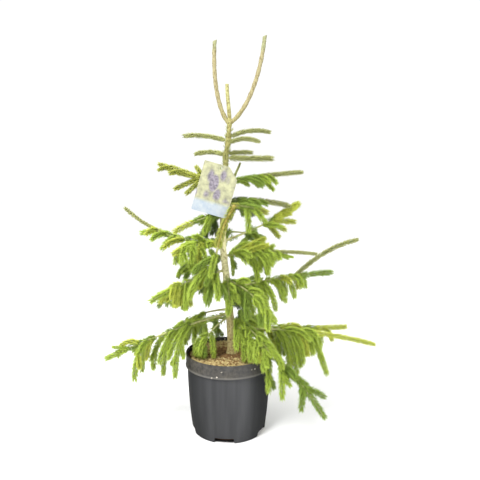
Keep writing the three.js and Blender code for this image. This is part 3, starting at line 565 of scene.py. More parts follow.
# %% Fine shoots
ON_TWIG = dict(first=0.28, last=0.86, spacing=42, longest=52, share=0.62, splay=34, droop=0.3, rolls=110,
               longest_carrier=150, fewest_points=5)
ON_BOUGH = dict(lead=0.1, first=0.05, last=0.92, per_twig=0.8, share=0.55, splay=46, droop=0.6, rolls=200)
FALL_OFF = 1.15
shoots = []  # each: its line, radii of its wood, its bough's plan and its kind
for plan in plans.values():
    draw = seeded(SEED + 5000 + plan["index"] * 31)
    lush = plan.get("fine", 1)
    for twig in plan["grown"]:
        line = cut_for_sky(smooth(twig["points"]))
        if len(line) < ON_TWIG["fewest_points"]:
            continue
        shoots.append(dict(line=line, wood=(1.5, 0.8), plan=plan, kind="twig", reach=twig["reach"],
                           green=twig["green"]))
        whole = measured(line)[-1]
        if whole >= ON_TWIG["longest_carrier"]:
            continue
        most = min(ON_TWIG["longest"], ON_TWIG["share"] * whole)
        many = int(lush * whole // ON_TWIG["spacing"])
        for fine in side_shoots(line, ON_TWIG["first"], ON_TWIG["last"], many,
                                lambda at: most * (FALL_OFF - at), ON_TWIG["splay"], ON_TWIG["droop"],
                                ON_TWIG["rolls"], draw):
            shoots.append(dict(line=fine, wood=(1.0, 0.7), plan=plan, kind="fine"))
    if plan["twigs"]:
        count, longest, first, last, _, droop = plan["twigs"]
        most = ON_BOUGH["share"] * longest
        start = max(ON_BOUGH["first"], first - ON_BOUGH["lead"])
        end = min(ON_BOUGH["last"], last + (0 if "tip" in plan else ON_BOUGH["lead"]))
        many = int(lush * ON_BOUGH["per_twig"] * count)
        for fine in side_shoots(plan["stem"], start, end, many, lambda at: most * (FALL_OFF - at),
                                ON_BOUGH["splay"], ON_BOUGH["droop"] * droop, ON_BOUGH["rolls"], draw):
            shoots.append(dict(line=fine, wood=(1.1, 0.7), plan=plan, kind="fine"))
for kind in ("twig", "fine"):
    lines = [s["line"] for s in shoots if s["kind"] == kind]
    print(kind, len(lines), "shoots,", round(sum(measured(line)[-1] for line in lines) / 1000, 1), "m")

# %% [markdown]
# ## Finishes of the growing parts
# Needles are dealt out in a few plain greens, one for each spray, and each green only shimmers a little
# between a darker and a lighter shade. A needle carries a small map along its length, by which painted
# shade darkens it at its root and leaves its tip clear, so that a spray has depth. Twigs are green wood and
# boughs paler tan, and both turn lighter or darker in small patches. The patterns read the object's own
# coordinates, so they stay put from every side.

# %% Helpers for finishes
def finish(name, roughness, specular=0.3):
    material = bpy.data.materials.new(name)
    material.use_nodes = True
    shader = material.node_tree.nodes["Principled BSDF"]
    shader.inputs["Roughness"].default_value = roughness
    shader.inputs["Specular IOR Level"].default_value = specular
    return material, material.node_tree, shader


def here(tree):
    return out(put(tree, "ShaderNodeTexCoord"), "Object")


def axis(tree, place, letter):
    """One of the three numbers of a place."""
    return out(put(tree, "ShaderNodeSeparateXYZ", {"Vector": place}), letter)


def mapped(tree, place, scale, rotation=(0, 0, 0)):
    """A place, turned and scaled to stretch a pattern."""
    node = put(tree, "ShaderNodeMapping", {"Vector": place, "Scale": scale, "Rotation": rotation})
    return out(node, "Vector")


def mottle(tree, place, scale, detail=3.0, rough=0.6):
    return out(put(tree, "ShaderNodeTexNoise",
                   {"Vector": place, "Scale": scale, "Detail": detail, "Roughness": rough}), "Fac")


def shades(tree, factor, stops):
    """A colour ramp from (place, colour) stops, where a single number is a grey."""
    node = put(tree, "ShaderNodeValToRGB", {"Fac": factor})
    bar = node.color_ramp.elements
    while len(bar) < len(stops):
        bar.new(0.5)
    for element, (place, colour) in zip(bar, stops):
        element.position = place
        element.color = (*(colour if isinstance(colour, tuple) else (colour,) * 3), 1)
    return out(node, "Color")


def grey(tree, colour):
    """A colour's brightness as a factor."""
    return out(put(tree, "ShaderNodeRGBToBW", {"Color": colour}), "Val")


def blend(tree, factor, a, b, how="MIX"):
    """One colour over another, by a factor."""
    node = put(tree, "ShaderNodeMix", data_type="RGBA", blend_type=how)
    fill(tree, node.inputs[0], factor)
    for socket, source in ((node.inputs[6], a), (node.inputs[7], b)):
        fill(tree, socket, (*source, 1) if isinstance(source, tuple) else source)
    return node.outputs[2]


def times(tree, a, b, factor=1.0):
    return blend(tree, factor, a, b, "MULTIPLY")


def paint(tree, shader, colour):
    tree.links.new(colour, shader.inputs["Base Color"])


def bumps(tree, shader, height, strength, distance):
    node = put(tree, "ShaderNodeBump", {"Height": height, "Strength": strength, "Distance": distance})
    tree.links.new(out(node, "Normal"), shader.inputs["Normal"])


def mottled(name, roughness, specular, patches, stops, bump=()):
    """A finish whose colour wanders between its stops in soft patches, with fine bumps where asked."""
    material, tree, shader = finish(name, roughness, specular)
    place = here(tree)
    paint(tree, shader, shades(tree, mottle(tree, place, *patches), stops))
    if bump:
        grain, strength, distance = bump
        bumps(tree, shader, mottle(tree, place, *grain), strength, distance)
    return material


def wear(piece, material):
    piece.data.materials.clear()
    piece.data.materials.append(material)


# %% Finishes: needles and bark
GREENS = dict(deep=(0.11, 0.17, 0.03), mid=(0.25, 0.36, 0.05), fresh=(0.43, 0.56, 0.074),
              gold=(0.57, 0.63, 0.089), sage=(0.37, 0.39, 0.135), olive=(0.40, 0.43, 0.075))
ALONG_NEEDLE = "along"


def scaled(colour, by):
    return tuple(min(1.0, c * by) for c in colour)


def needle_green(name, colour):
    material, tree, shader = finish("needles_" + name, 0.46, 0.35)
    shimmer = mottle(tree, here(tree), 95)
    tint = shades(tree, shimmer, [(0.32, scaled(colour, 0.95)), (0.68, scaled(colour, 1.28))])
    along = axis(tree, out(put(tree, "ShaderNodeUVMap", uv_map=ALONG_NEEDLE), "UV"), "Y")
    # painted shade: each needle is darker at its root, deep in the spray, and clear at its tip
    painted_root_shade = shades(tree, along, [(0.0, (0.42, 0.46, 0.44)), (0.4, (0.76, 0.77, 0.76)), (0.8, 1.0)])
    paint(tree, shader, times(tree, tint, painted_root_shade))
    return material


def twig_bark(name, dark, middle, light):
    stops = [(0.3, dark), (0.55, middle), (0.8, light)]
    return mottled(name, 0.8, 0.2, (60,), stops, ((700,), 0.3, 0.0006))


needle_finish = {name: needle_green(name, colour) for name, colour in GREENS.items()}
twig_finish = twig_bark("twig_bark", (0.13, 0.19, 0.035), (0.21, 0.30, 0.055), (0.30, 0.38, 0.08))
bough_finish = twig_bark("bough_bark", (0.30, 0.30, 0.11), (0.48, 0.49, 0.21), (0.60, 0.62, 0.30))
print("needle greens:", ", ".join(needle_finish))

# %% [markdown]
# ## Twigs: a tube along every line
# The fine wood is one Geometry Nodes tree: each line becomes a curve, takes its thickness from an
# attribute on its points and sweeps a small circle. Skin modifiers would do it too, but they are slow on
# hundreds of branches. Every tree of nodes here ends in the same way, as real mesh with its finish set,
# because the exported model keeps no instances.

# %% Helpers for Geometry Nodes
GUIDES = ("thickness", "needle", "lean", "cover", "root")


def node_group(name, inputs):
    """An empty Geometry Nodes tree with named inputs."""
    tree = bpy.data.node_groups.new(name, "GeometryNodeTree")
    tree.interface.new_socket("Geometry", in_out="OUTPUT", socket_type="NodeSocketGeometry")
    tree.interface.new_socket("Geometry", in_out="INPUT", socket_type="NodeSocketGeometry")
    for label, kind in inputs.items():
        tree.interface.new_socket(label, in_out="INPUT", socket_type="NodeSocket" + kind)
    return tree, put(tree, "NodeGroupInput")


def end_group(tree, given, geometry):
    """Ends a tree as plain mesh with its finish."""
    plain = put(tree, "GeometryNodeRealizeInstances", {"Geometry": geometry})
    done = put(tree, "GeometryNodeSetMaterial",
               {"Geometry": out(plain, "Geometry"), "Material": out(given, "Finish")})
    tree.links.new(out(done, "Geometry"), put(tree, "NodeGroupOutput").inputs[0])


def attribute(tree, name):
    return out(put(tree, "GeometryNodeInputNamedAttribute", {"Name": name}, data_type="FLOAT"), "Attribute")


def plain_mesh(piece):
    """The mesh of a piece with its modifiers applied."""
    view = bpy.context.evaluated_depsgraph_get()
    return bpy.data.meshes.new_from_object(piece.evaluated_get(view), preserve_all_data_layers=True,
                                           depsgraph=view)


def realised(name, guide, tree, values):
    """The plain mesh that a tree makes of a guide object, which is then taken away."""
    modifier = guide.modifiers.new(tree.name, "NODES")
    modifier.node_group = tree
    for item in tree.interface.items_tree:
        if item.in_out == "INPUT" and item.name in values:
            modifier[item.identifier] = values[item.name]
    data = plain_mesh(guide)
    data.name = name
    guide.modifiers.remove(modifier)
    bpy.data.objects.remove(guide)
    for spare in [a.name for a in data.attributes if a.name in GUIDES]:
        data.attributes.remove(data.attributes[spare])
    return link_in(bpy.data.objects.new(name, data))


def guide_lines(name, lines, **values):
    """One object of loose lines, with a number at every point for each named value."""
    points, edges = np.vstack(lines), []
    first = 0
    for line in lines:
        edges += [(first + i, first + i + 1) for i in range(len(line) - 1)]
        first += len(line)
    guide = mesh_piece(name, points, [], edges)
    for key, per_line in values.items():
        layer = guide.data.attributes.new(key, "FLOAT", "POINT")
        layer.data.foreach_set("value", np.concatenate(per_line).astype(np.float32))
    return guide


# %% Twig wood
TUBE_SIDES = 6
STEM_WOOD = dict(bare_share=0.85, tip=1.2)
twig_tree, given = node_group("twig tubes", {"Sides": "Int", "Finish": "Material"})
curve = put(twig_tree, "GeometryNodeMeshToCurve", {"Mesh": out(given, "Geometry")})
curve = put(twig_tree, "GeometryNodeSetCurveRadius",
            {"Curve": out(curve, "Curve"), "Radius": attribute(twig_tree, "thickness")})
ring = put(twig_tree, "GeometryNodeCurvePrimitiveCircle", {"Resolution": out(given, "Sides"), "Radius": 1.0})
tube = put(twig_tree, "GeometryNodeCurveToMesh",
           {"Curve": out(curve, "Curve"), "Profile Curve": out(ring, "Curve"),
            "Scale": attribute(twig_tree, "thickness"), "Fill Caps": True})
end_group(twig_tree, given, out(tube, "Mesh"))


def taper(line, radii):
    along = measured(line)
    return mix(radii[0], radii[1], along / along[-1]) * MM


def stem_wood(plan):
    share = LIMB["tip_share"] if plan["limb"] else STEM_WOOD["bare_share"]
    return smooth(plan["stem"], 2), (limb_radius(plan) * share, STEM_WOOD["tip"])


for name, look, wood in (("twigs", twig_finish, [(s["line"], s["wood"]) for s in shoots]),
                         ("bough_stems", bough_finish, [stem_wood(plan) for plan in plans.values()])):
    guide = guide_lines(name + "_guide", [line for line, _ in wood],
                        thickness=[taper(line, radii) for line, radii in wood])
    dress(realised(name, guide, twig_tree, {"Sides": TUBE_SIDES, "Finish": look}), "bark", *FOLIAGE)

# %% [markdown]
# ## Needles along every shoot
# A spruce needle is a stiff little spindle, and needles stand round the shoot in a spiral, leaning to its
# tip. The tree below walks along each line in even steps, turns by the golden angle at each one, moves
# out to the bark, leans the needle forward and gives it a length of its own. Hair would look alike, but
# the exported model drops it. The spindle itself has six faces, since it is repeated more than a hundred
# thousand times.

# %% One needle
NEEDLE_STEP = 0.22
NEEDLE_WIDTH = 1.8
GOLDEN_ANGLE = math.pi * (3 - math.sqrt(5))
corners = [(math.cos(2 * math.pi * k / 3) / 2, math.sin(2 * math.pi * k / 3) / 2, 0.45) for k in range(3)]
faces = [(0, (k + 1) % 3 + 1, k + 1) for k in range(3)] + [(4, k + 1, (k + 1) % 3 + 1) for k in range(3)]
needle = mesh_piece("needle", np.array([(0, 0, 0), *corners, (0, 0, 1)]) / MM, faces)
along_needle = needle.data.uv_layers.new(name=ALONG_NEEDLE)
for corner in needle.data.loops:
    along_needle.data[corner.index].uv = (0.5, needle.data.vertices[corner.vertex_index].co.z)
print("needle:", len(needle.data.polygons), "faces")

# %% Needle tree
needle_tree, given = node_group("needles on shoots", {
    "Needle": "Object", "Step": "Float", "Width": "Float", "Turn": "Float", "Seed": "Int",
    "Finish": "Material"})


def sums(operation, a, b):
    node = put(needle_tree, "ShaderNodeMath", operation=operation)
    for socket, source in zip(node.inputs, (a, b)):
        fill(needle_tree, socket, source)
    return out(node, "Value")


def chance(low, high, offset):
    seed = sums("ADD", out(given, "Seed"), offset)
    return out(put(needle_tree, "FunctionNodeRandomValue", {"Min": low, "Max": high, "Seed": seed}), "Value")


def turned(rotation, axis_of_turn, angle):
    by = put(needle_tree, "FunctionNodeAxisAngleToRotation", {"Axis": axis_of_turn, "Angle": angle})
    node = put(needle_tree, "FunctionNodeRotateRotation",
               {"Rotation": rotation, "Rotate By": out(by, "Rotation")}, rotation_space="LOCAL")
    return out(node, "Rotation")


curve = put(needle_tree, "GeometryNodeMeshToCurve", {"Mesh": out(given, "Geometry")})
steps = put(needle_tree, "GeometryNodeCurveToPoints",
            {"Curve": out(curve, "Curve"), "Length": out(given, "Step")}, mode="LENGTH")
spiral = sums("MULTIPLY", out(put(needle_tree, "GeometryNodeInputIndex"), "Index"), out(given, "Turn"))
round_shoot = turned(out(steps, "Rotation"), (0, 0, 1), sums("ADD", spiral, chance(-0.5, 0.5, 1)))
leaning = sums("MULTIPLY", attribute(needle_tree, "lean"), chance(0.75, 1.2, 2))
leaning = turned(round_shoot, (1, 0, 0), leaning)
to_bark = sums("MULTIPLY", attribute(needle_tree, "root"), -1.0)
outward = put(needle_tree, "ShaderNodeCombineXYZ", {"Y": to_bark})
outward = put(needle_tree, "FunctionNodeRotateVector",
              {"Vector": out(outward, "Vector"), "Rotation": round_shoot})
on_bark = put(needle_tree, "GeometryNodeSetPosition",
              {"Geometry": out(steps, "Points"), "Offset": out(outward, "Vector")})
long = sums("MULTIPLY", attribute(needle_tree, "needle"), chance(0.78, 1.12, 3))
wide = sums("MULTIPLY", out(given, "Width"), chance(0.8, 1.15, 4))
size = put(needle_tree, "ShaderNodeCombineXYZ", {"X": wide, "Y": wide, "Z": long})
present = put(needle_tree, "FunctionNodeCompare",
              {"A": chance(0.0, 1.0, 5), "B": attribute(needle_tree, "cover")},
              data_type="FLOAT", operation="LESS_THAN")
shape = put(needle_tree, "GeometryNodeObjectInfo", {"Object": out(given, "Needle")})
planted = put(needle_tree, "GeometryNodeInstanceOnPoints",
              {"Points": out(on_bark, "Geometry"), "Selection": out(present, "Result"),
               "Instance": out(shape, "Geometry"), "Rotation": leaning, "Scale": out(size, "Vector")})
end_group(needle_tree, given, out(planted, "Instances"))
print("needle tree:", len(needle_tree.nodes), "nodes")

# %% [markdown]
# ## Sprays and their greens
# Every shoot is one spray with one green. Where the table names no green, the bough's tone sets the usual
# one and chance moves it a step up or down, while painted shade makes sprays by the stem darker and those
# at the outside lighter, fine shoots most of all. Sage and olive are for the dull upper boughs and the
# dried ends. Needles are shorter and more pressed on the upper boughs. One mesh with colours painted on its
# points would do as well, but plain finishes bake cleanly.

# %% Sprays
STEPS_UP = ["deep", "mid", "fresh", "gold"]
NEEDLE_LENGTH = dict(low=13.2, high=10.5, fine_share=0.92)
NEEDLE_LEAN = dict(low=50, high=42, at_tip=0.45, tip_length=9.0)
CHANGE = dict(start=560, span=160)
# edge, middle and the two inner shade weights set a painted shade: sprays by the stem darker, outer ones
# lighter
TONE = dict(chance=1.2, edge=170, middle=0.7, fine_inner_shade=0.5, inner_shade=0.1, lowest=210, highest=880)


def spray_green(line, plan, draw, kind, shift, green):
    """The green that is named for this spray, or else one drawn round the bough's tone."""
    if plan is None or plan["tone"] == "sage":
        return "sage"
    green = green or plan.get("green")
    if green:
        return green
    tip = line[-1]
    stem = stem_middle(min(TONE["highest"], max(TONE["lowest"], tip[2])))
    # painted shade: sprays near the stem are pushed darker, those out towards the edge lighter
    away = np.linalg.norm((tip - stem)[:2]) / TONE["edge"]
    inner_shade = TONE["fine_inner_shade"] if kind == "fine" else TONE["inner_shade"]
    tone = plan["tone"] + shift + TONE["chance"] * (draw() - 0.5) + inner_shade * (away - TONE["middle"])
    return STEPS_UP[int(np.clip(round(tone), 0, 3))]


def coat(line, plan, draw, kind, cover=1.0, root=0.0, shift=0.0, reach=None, green=None):
    """One spray: the line that carries it and its needles' length, lean and cover at every point."""
    along = measured(line)
    high = np.clip((line[:, 2].mean() - CHANGE["start"]) / CHANGE["span"], 0, 1)
    length = mix(NEEDLE_LENGTH["low"], NEEDLE_LENGTH["high"], high)
    length = length * (NEEDLE_LENGTH["fine_share"] if kind == "fine" else 1.0)
    length = length * (reach or NEEDLED["reach"]) / NEEDLED["reach"]
    lean = math.radians(mix(NEEDLE_LEAN["low"], NEEDLE_LEAN["high"], high))
    to_tip = np.clip((along[-1] - along) / NEEDLE_LEAN["tip_length"], 0, 1)
    shown = np.ones(len(line))
    if kind == "old":
        shown = np.where(in_open_sky(line), 0.0, 1.0)
    return dict(line=line, green=spray_green(line, plan, draw, kind, shift, green),
                needle=np.full(len(line), length * MM), lean=lean * mix(NEEDLE_LEAN["at_tip"], 1, to_tip),
                cover=shown * cover, root=shown * root * MM, count=along[-1] / NEEDLE_STEP * cover)


# %% Sprays on twigs, boughs and old wood
CLAD = 0.6  # usual cover of needles on older wood
BARE = 0.15  # a thinner cover than this is left out
# older needles are darker, and this shift also paints shade inside the crown
OLDER_AND_SHADED = -0.7  # change of tone on older wood
IN_WOOD = 0.6  # where needles start, as a share of the wood's radius
BEFORE_LAST = 0.1  # the older wood ends this share before the last twig
FEWEST_POINTS = 3
LIMB_COAT = dict(share=0.6, reach=8.0, start=4, points=12, root=0.8)
UPPER_STEM = dict(low=690, high=798, points=28, cover=0.3, root=5.0)
draw = seeded(SEED + 77)
sprays = []
for shoot in shoots:
    sprays.append(coat(shoot["line"], shoot["plan"], draw, shoot["kind"], root=IN_WOOD * shoot["wood"][0],
                       reach=shoot.get("reach"), green=shoot.get("green")))
for plan in plans.values():
    stem, clad = smooth(plan["stem"], 2), plan.get("clad", CLAD)
    cut, reach = 2, plan["reach"] * (NEEDLED["reach"] / NEEDLED["top_reach"])
    if plan["twigs"]:
        last = plan["twigs"][3]
        cut, reach = int((last - BEFORE_LAST) * len(stem)), plan["reach"]
        if cut > FEWEST_POINTS:
            sprays.append(coat(stem[:cut + 1], plan, draw, "old", clad, IN_WOOD * limb_radius(plan), OLDER_AND_SHADED))
    for lift in plan.get("tip_lifts", (0.0,)):
        sprays.append(coat(stem[cut:] + UP * lift, plan, draw, "tip", 1.0, 1.0, 0.0, reach - abs(lift),
                           plan.get("tip")))
    if plan["limb"]:
        usual = (LIMB_COAT["share"] * clad, None, LIMB_COAT["reach"], 0.0)
        cover, green, reach, *lifts = plan.get("limb_coat", usual)
        start, root = plan["inset"] + LIMB_COAT["start"], LIMB_COAT["root"] * limb_radius(plan)
        limb = stretch(plan["path"], start, plan["limb_end"], LIMB_COAT["points"])
        for lift in lifts if cover > BARE else ():
            sprays.append(coat(limb + UP * lift, plan, draw, "old", cover, root, OLDER_AND_SHADED, reach, green))
upper_heights = np.linspace(UPPER_STEM["low"], UPPER_STEM["high"], UPPER_STEM["points"])
upper_stem = np.array([stem_middle(z) for z in upper_heights])
sprays.append(coat(upper_stem, None, draw, "old", UPPER_STEM["cover"], UPPER_STEM["root"]))
print("sprays:", len(sprays), "with about", round(sum(s["count"] for s in sprays)), "needles")

# %% [markdown]
# ## Planting the needles
# All sprays of one green are planted at once. A piece has to stay under 200,000 triangles, so a large
# green is split by dealing its sprays out in turn, and each part is a piece of its own.

# %% Needles
LARGEST = 190000 // len(needle.data.polygons)
for green in GREENS:
    mine = [s for s in sprays if s["green"] == green]
    parts = max(1, math.ceil(sum(s["count"] for s in mine) / LARGEST))
    for part in range(parts):
        some = mine[part::parts]
        if not some:
            continue
        name = f"needles_{green}_{part + 1}"
        guide = guide_lines(name + "_guide", [s["line"] for s in some],
                            **{key: [s[key] for s in some] for key in ("needle", "lean", "cover", "root")})
        piece = realised(name, guide, needle_tree, {
            "Needle": needle, "Step": NEEDLE_STEP * MM, "Width": NEEDLE_WIDTH * MM, "Turn": GOLDEN_ANGLE,
            "Seed": SEED + part, "Finish": needle_finish[green]})
        dress(piece, "needles", *FOLIAGE)
bpy.data.objects.remove(needle)

# %% [markdown]
# ## Bark with relief
# Young spruce bark is thin and breaks into small flat scales, with collars where boughs leave the stem. A
# tube of close rings is pushed in and out by two seeded patterns: cells that stand for the scales and a
# soft swelling. A displacement in the material would look the same here, but it would be lost in the
# exported mesh.

# %% Bark helpers
SCALE = dict(across=4.2, along=8.0, level=0.6, crack=2.2)
SWELLING = 9.0


def frames_along(points):
    """Side and upper directions carried along a path without a twist."""
    tangents = np.gradient(points, axis=0)
    tangents /= np.linalg.norm(tangents, axis=1)[:, None]
    side = np.cross(tangents[0], UP if abs(tangents[0][2]) < 0.9 else np.array([1.0, 0, 0]))
    sides, overs = [], []
    for tangent in tangents:
        side = unit(side - tangent * (side @ tangent))
        sides.append(side)
        overs.append(np.cross(tangent, side))
    return np.array(sides), np.array(overs)


def scales(place, across, along):
    """Height of the bark's scales at a place, from 0 in a crack to 1 on a scale."""
    near = noise.voronoi(Vector((place[0] / across, place[1] / across, place[2] / along)))[0]
    return min(1.0, SCALE["crack"] * (near[1] - near[0]))


def sleeve_faces(rings, around):
    """Faces between rings of points, and a fan at each end to one of the two points that follow them."""
    faces = [(i * around + k, i * around + (k + 1) % around, (i + 1) * around + (k + 1) % around,
              (i + 1) * around + k) for i in range(rings - 1) for k in range(around)]
    low, last = rings * around, (rings - 1) * around
    faces += [(low, (k + 1) % around, k) for k in range(around)]
    faces += [(low + 1, last + k, last + (k + 1) % around) for k in range(around)]
    return faces


def bark_rings(points, sides, overs, radius_at, corners, lift):
    """Rings of corners round a path, closed at both ends."""
    verts = []
    for i, point in enumerate(points):
        for k in range(corners):
            angle = 2 * math.pi * k / corners
            way = sides[i] * math.cos(angle) + overs[i] * math.sin(angle)
            base = point + way * radius_at(i)
            verts.append(base + way * lift(base, i, way))
    verts += [points[0], points[-1]]
    return verts, sleeve_faces(len(points), corners)


def bark_lift(depth):
    def lift(base, _ring, _way):
        flakes = depth * (scales(base, SCALE["across"], SCALE["along"]) - SCALE["level"])
        return flakes + 0.5 * depth * noise.noise(Vector(base) / SWELLING)
    return lift


# %% The stem's bark
BARK = dict(rings=330, crowding=1.15, corners=26, old_depth=0.7, young_depth=0.3, young_from=560,
            young_span=240)
COLLAR = dict(base=1.1, per_radius=0.25, leader=1.6, nearby=16, height=6.5)
FOOT = dict(height=10, depth=1.6, lobes=3, turn=0.6)
climb = np.linspace(0, 1, BARK["rings"]) ** BARK["crowding"]
stem_heights = TRUNK["foot"] + (TRUNK["tip"] - TRUNK["foot"]) * climb
stem_line = np.array([stem_middle(z) for z in stem_heights])
level = [np.tile(np.array(way), (len(stem_line), 1)) for way in ((1.0, 0.0, 0.0), (0.0, 1.0, 0.0))]
collars = [(p["height"], heading(p["bearing"], 0), COLLAR["base"] + COLLAR["per_radius"] * limb_radius(p))
           for p in BOUGHS if p["height"]]
collars += [(p["height"], heading(p["bearing"], 0), COLLAR["leader"]) for p in LEADERS]


def stem_lift(base, ring, way):
    z = stem_heights[ring]
    young = np.clip((z - BARK["young_from"]) / BARK["young_span"], 0, 1)
    lift = bark_lift(mix(BARK["old_depth"], BARK["young_depth"], young))(base, ring, way)
    for height, toward, swell in collars:
        if abs(z - height) < COLLAR["nearby"]:
            near = math.exp(-((z - height) / COLLAR["height"]) ** 2)
            lift += swell * near * max(0.0, float(way @ toward)) ** 3
    foot = FOOT["depth"] * math.exp(-(z - TRUNK["foot"]) / FOOT["height"])
    lobes = math.cos(FOOT["lobes"] * math.atan2(way[1], way[0]) + FOOT["turn"])
    return (lift + foot * lobes) * (1 if ring else 0)


trunk = mesh_piece("trunk_bark", *bark_rings(
    stem_line, *level, lambda i: stem_radius(stem_heights[i]), BARK["corners"], stem_lift))
trunk_finish, tree, shader = finish("trunk_bark", 0.82, 0.2)
place = here(tree)
# painted light: from the soil to about 490 mm the stem is paler than its bark, so it stays light in the
# crown's shade; the rest of the ramp is the bark's own colour changing with height
bark_by_height_and_painted_light = shades(tree, axis(tree, place, "Z"), [
    (0.22, (0.59, 0.50, 0.24)), (0.34, (0.78, 0.72, 0.38)), (0.42, (0.90, 0.87, 0.53)),
    (0.49, (0.92, 0.88, 0.54)), (0.55, (0.62, 0.58, 0.32)), (0.72, (0.31, 0.31, 0.11)),
    (0.80, (0.41, 0.38, 0.15)), (0.83, (0.46, 0.45, 0.20))])
flecks = shades(tree, mottle(tree, place, 190, 4, 0.7), [(0.36, (0.30, 0.24, 0.17)), (0.5, 1.0)])
patches = shades(tree, mottle(tree, place, 45), [(0.3, (0.72, 0.68, 0.6)), (0.7, 1.0)])
paint(tree, shader, times(tree, times(tree, bark_by_height_and_painted_light, flecks, 0.8), patches))
bumps(tree, shader, mottle(tree, place, 420, 4, 0.7), 0.4, 0.001)
wear(trunk, trunk_finish)
dress(trunk, "bark", "trunk")

# %% [markdown]
# ## Limbs
# The bare limbs take the same bark on thinner tubes, each with a small swelling where it leaves the stem.
# Most are pale, and the arch in front is a warmer brown, so it is a piece of its own.

# %% Limbs
LIMB_BARK = dict(start=0.6, step=2.5, fewest=12, corners=12, depth=0.35, swell=1.3, swell_length=7)


def joined(name, tubes):
    """Several tubes of points and faces as one mesh."""
    verts, faces = [], []
    for points, polygons in tubes:
        faces += [tuple(len(verts) + i for i in polygon) for polygon in polygons]
        verts += list(points)
    return mesh_piece(name, verts, faces)


def limb_tube(plan):
    end, radius = plan["limb_end"], limb_radius(plan)
    rings = max(LIMB_BARK["fewest"], int(end / LIMB_BARK["step"]))
    line = stretch(plan["path"], plan["inset"] * LIMB_BARK["start"], end, rings)

    def radius_at(i):
        share = i / (len(line) - 1)
        swell = LIMB_BARK["swell"] * math.exp(-share * end / LIMB_BARK["swell_length"])
        return mix(radius, radius * LIMB["tip_share"], share) + swell

    lift = bark_lift(LIMB_BARK["depth"])
    return bark_rings(line, *frames_along(line), radius_at, LIMB_BARK["corners"], lift)


def limb_finish(name, dark, middle, light):
    material, tree, shader = finish(name, 0.8, 0.2)
    place = here(tree)
    tint = shades(tree, mottle(tree, place, 70), [(0.28, dark), (0.5, middle), (0.75, light)])
    flecks = shades(tree, mottle(tree, place, 230, 4, 0.7), [(0.38, (0.36, 0.3, 0.2)), (0.52, 1.0)])
    paint(tree, shader, times(tree, tint, flecks, 0.7))
    bumps(tree, shader, mottle(tree, place, 500, 4, 0.7), 0.35, 0.0008)
    return material


pale_bark = limb_finish("limb_bark", (0.36, 0.32, 0.13), (0.56, 0.55, 0.26), (0.68, 0.69, 0.37))
golden_bark = limb_finish("arch_bark", (0.30, 0.23, 0.05), (0.46, 0.38, 0.10), (0.58, 0.50, 0.17))
with_limb = [plan for plan in plans.values() if plan["limb"]]
for name, look, arched in (("limb_bark", pale_bark, False), ("arch_bark", golden_bark, True)):
    mine = [plan for plan in with_limb if (plan["name"] == "front_arch") == arched]
    limbs = joined(name, [limb_tube(plan) for plan in mine])
    wear(limbs, look)
    dress(limbs, "bark", *["bough_" + plan["name"] for plan in mine])

# %% [markdown]
# ## Leaders
# The two leaders are last year's shoots without needles: pale tan, cut off aslant at the top with a green
# end, and a little knotted. They are tubes of rings as the limbs are.

# %% Leaders
LEADER = dict(rings=110, corners=16, start=0.4, root_radius=5.4, tip_radius=4.9, slant=0.55, knot=0.35,
              knot_turn=0.45, swell=0.3, swell_width=5.0, flake=0.25, flake_across=3.0, flake_along=7.0)


def leader_tube(leader):
    rings, corners = LEADER["rings"], LEADER["corners"]
    whole = measured(leader["path"])[-1]
    line = stretch(leader["path"], stem_radius(leader["height"]) * LEADER["start"], whole, rings)

    def lift(base, ring, _way):
        knot = LEADER["knot"] * math.sin(ring * LEADER["knot_turn"] + leader["bearing"])
        swell = LEADER["swell"] * noise.noise(Vector(base) / LEADER["swell_width"])
        flake = LEADER["flake"] * (scales(base, LEADER["flake_across"], LEADER["flake_along"]) - 0.5)
        return (swell + flake + knot) * (ring < rings - 1)

    def radius_at(i):
        return mix(LEADER["root_radius"], LEADER["tip_radius"], i / rings)

    verts, faces = bark_rings(line, *frames_along(line), radius_at, corners, lift)
    for i in range(len(verts) - corners - 2, len(verts) - 2):
        verts[i] = verts[i] + unit(line[-1] - line[-2]) * LEADER["slant"] * (verts[i] - line[-1])[0]
    return verts, faces


leaders = joined("leader_bark", [leader_tube(leader) for leader in LEADERS])
leader_finish, tree, shader = finish("leader_bark", 0.72, 0.25)
place = here(tree)
tint = shades(tree, axis(tree, place, "Z"), [(0.80, (0.32, 0.29, 0.12)), (0.86, (0.34, 0.30, 0.155)),
                                             (0.975, (0.335, 0.295, 0.155)), (0.985, (0.30, 0.31, 0.16))])
streaks = mottle(tree, mapped(tree, place, (1, 1, 0.35)), 260, 3, 0.65)
flecks = shades(tree, streaks, [(0.36, (0.34, 0.26, 0.16)), (0.5, 1.0)])
paint(tree, shader, times(tree, tint, flecks, 0.65))
bumps(tree, shader, mottle(tree, place, 600, 3), 0.3, 0.0006)
wear(leaders, leader_finish)
print("leaders:", len(leaders.data.polygons), "faces")

# %% [markdown]
# ## Pegs on the leaders
# A shed spruce needle leaves a small woody peg behind, which makes the shoot rough to the touch. Geometry
# Nodes strew one peg over the leaders' bark, turned to its surface. Sculpted pegs would be as good up
# close, but there are hundreds of them. The mulch further down is strewn by the same two helpers.

# %% Needle pegs
PEG = dict(corners=5, foot_radius=0.75, top_radius=0.4, foot=-0.3, top=0.75, density=26000.0)


def prism_faces(corners, first=0):
    """Faces of a closed prism, whose lower ring of points is followed by its upper one."""
    ends = [range(corners - 1, -1, -1), range(corners, 2 * corners)]
    sides = [(k, (k + 1) % corners, (k + 1) % corners + corners, k + corners) for k in range(corners)]
    return [tuple(first + i for i in face) for face in (*ends, *sides)]


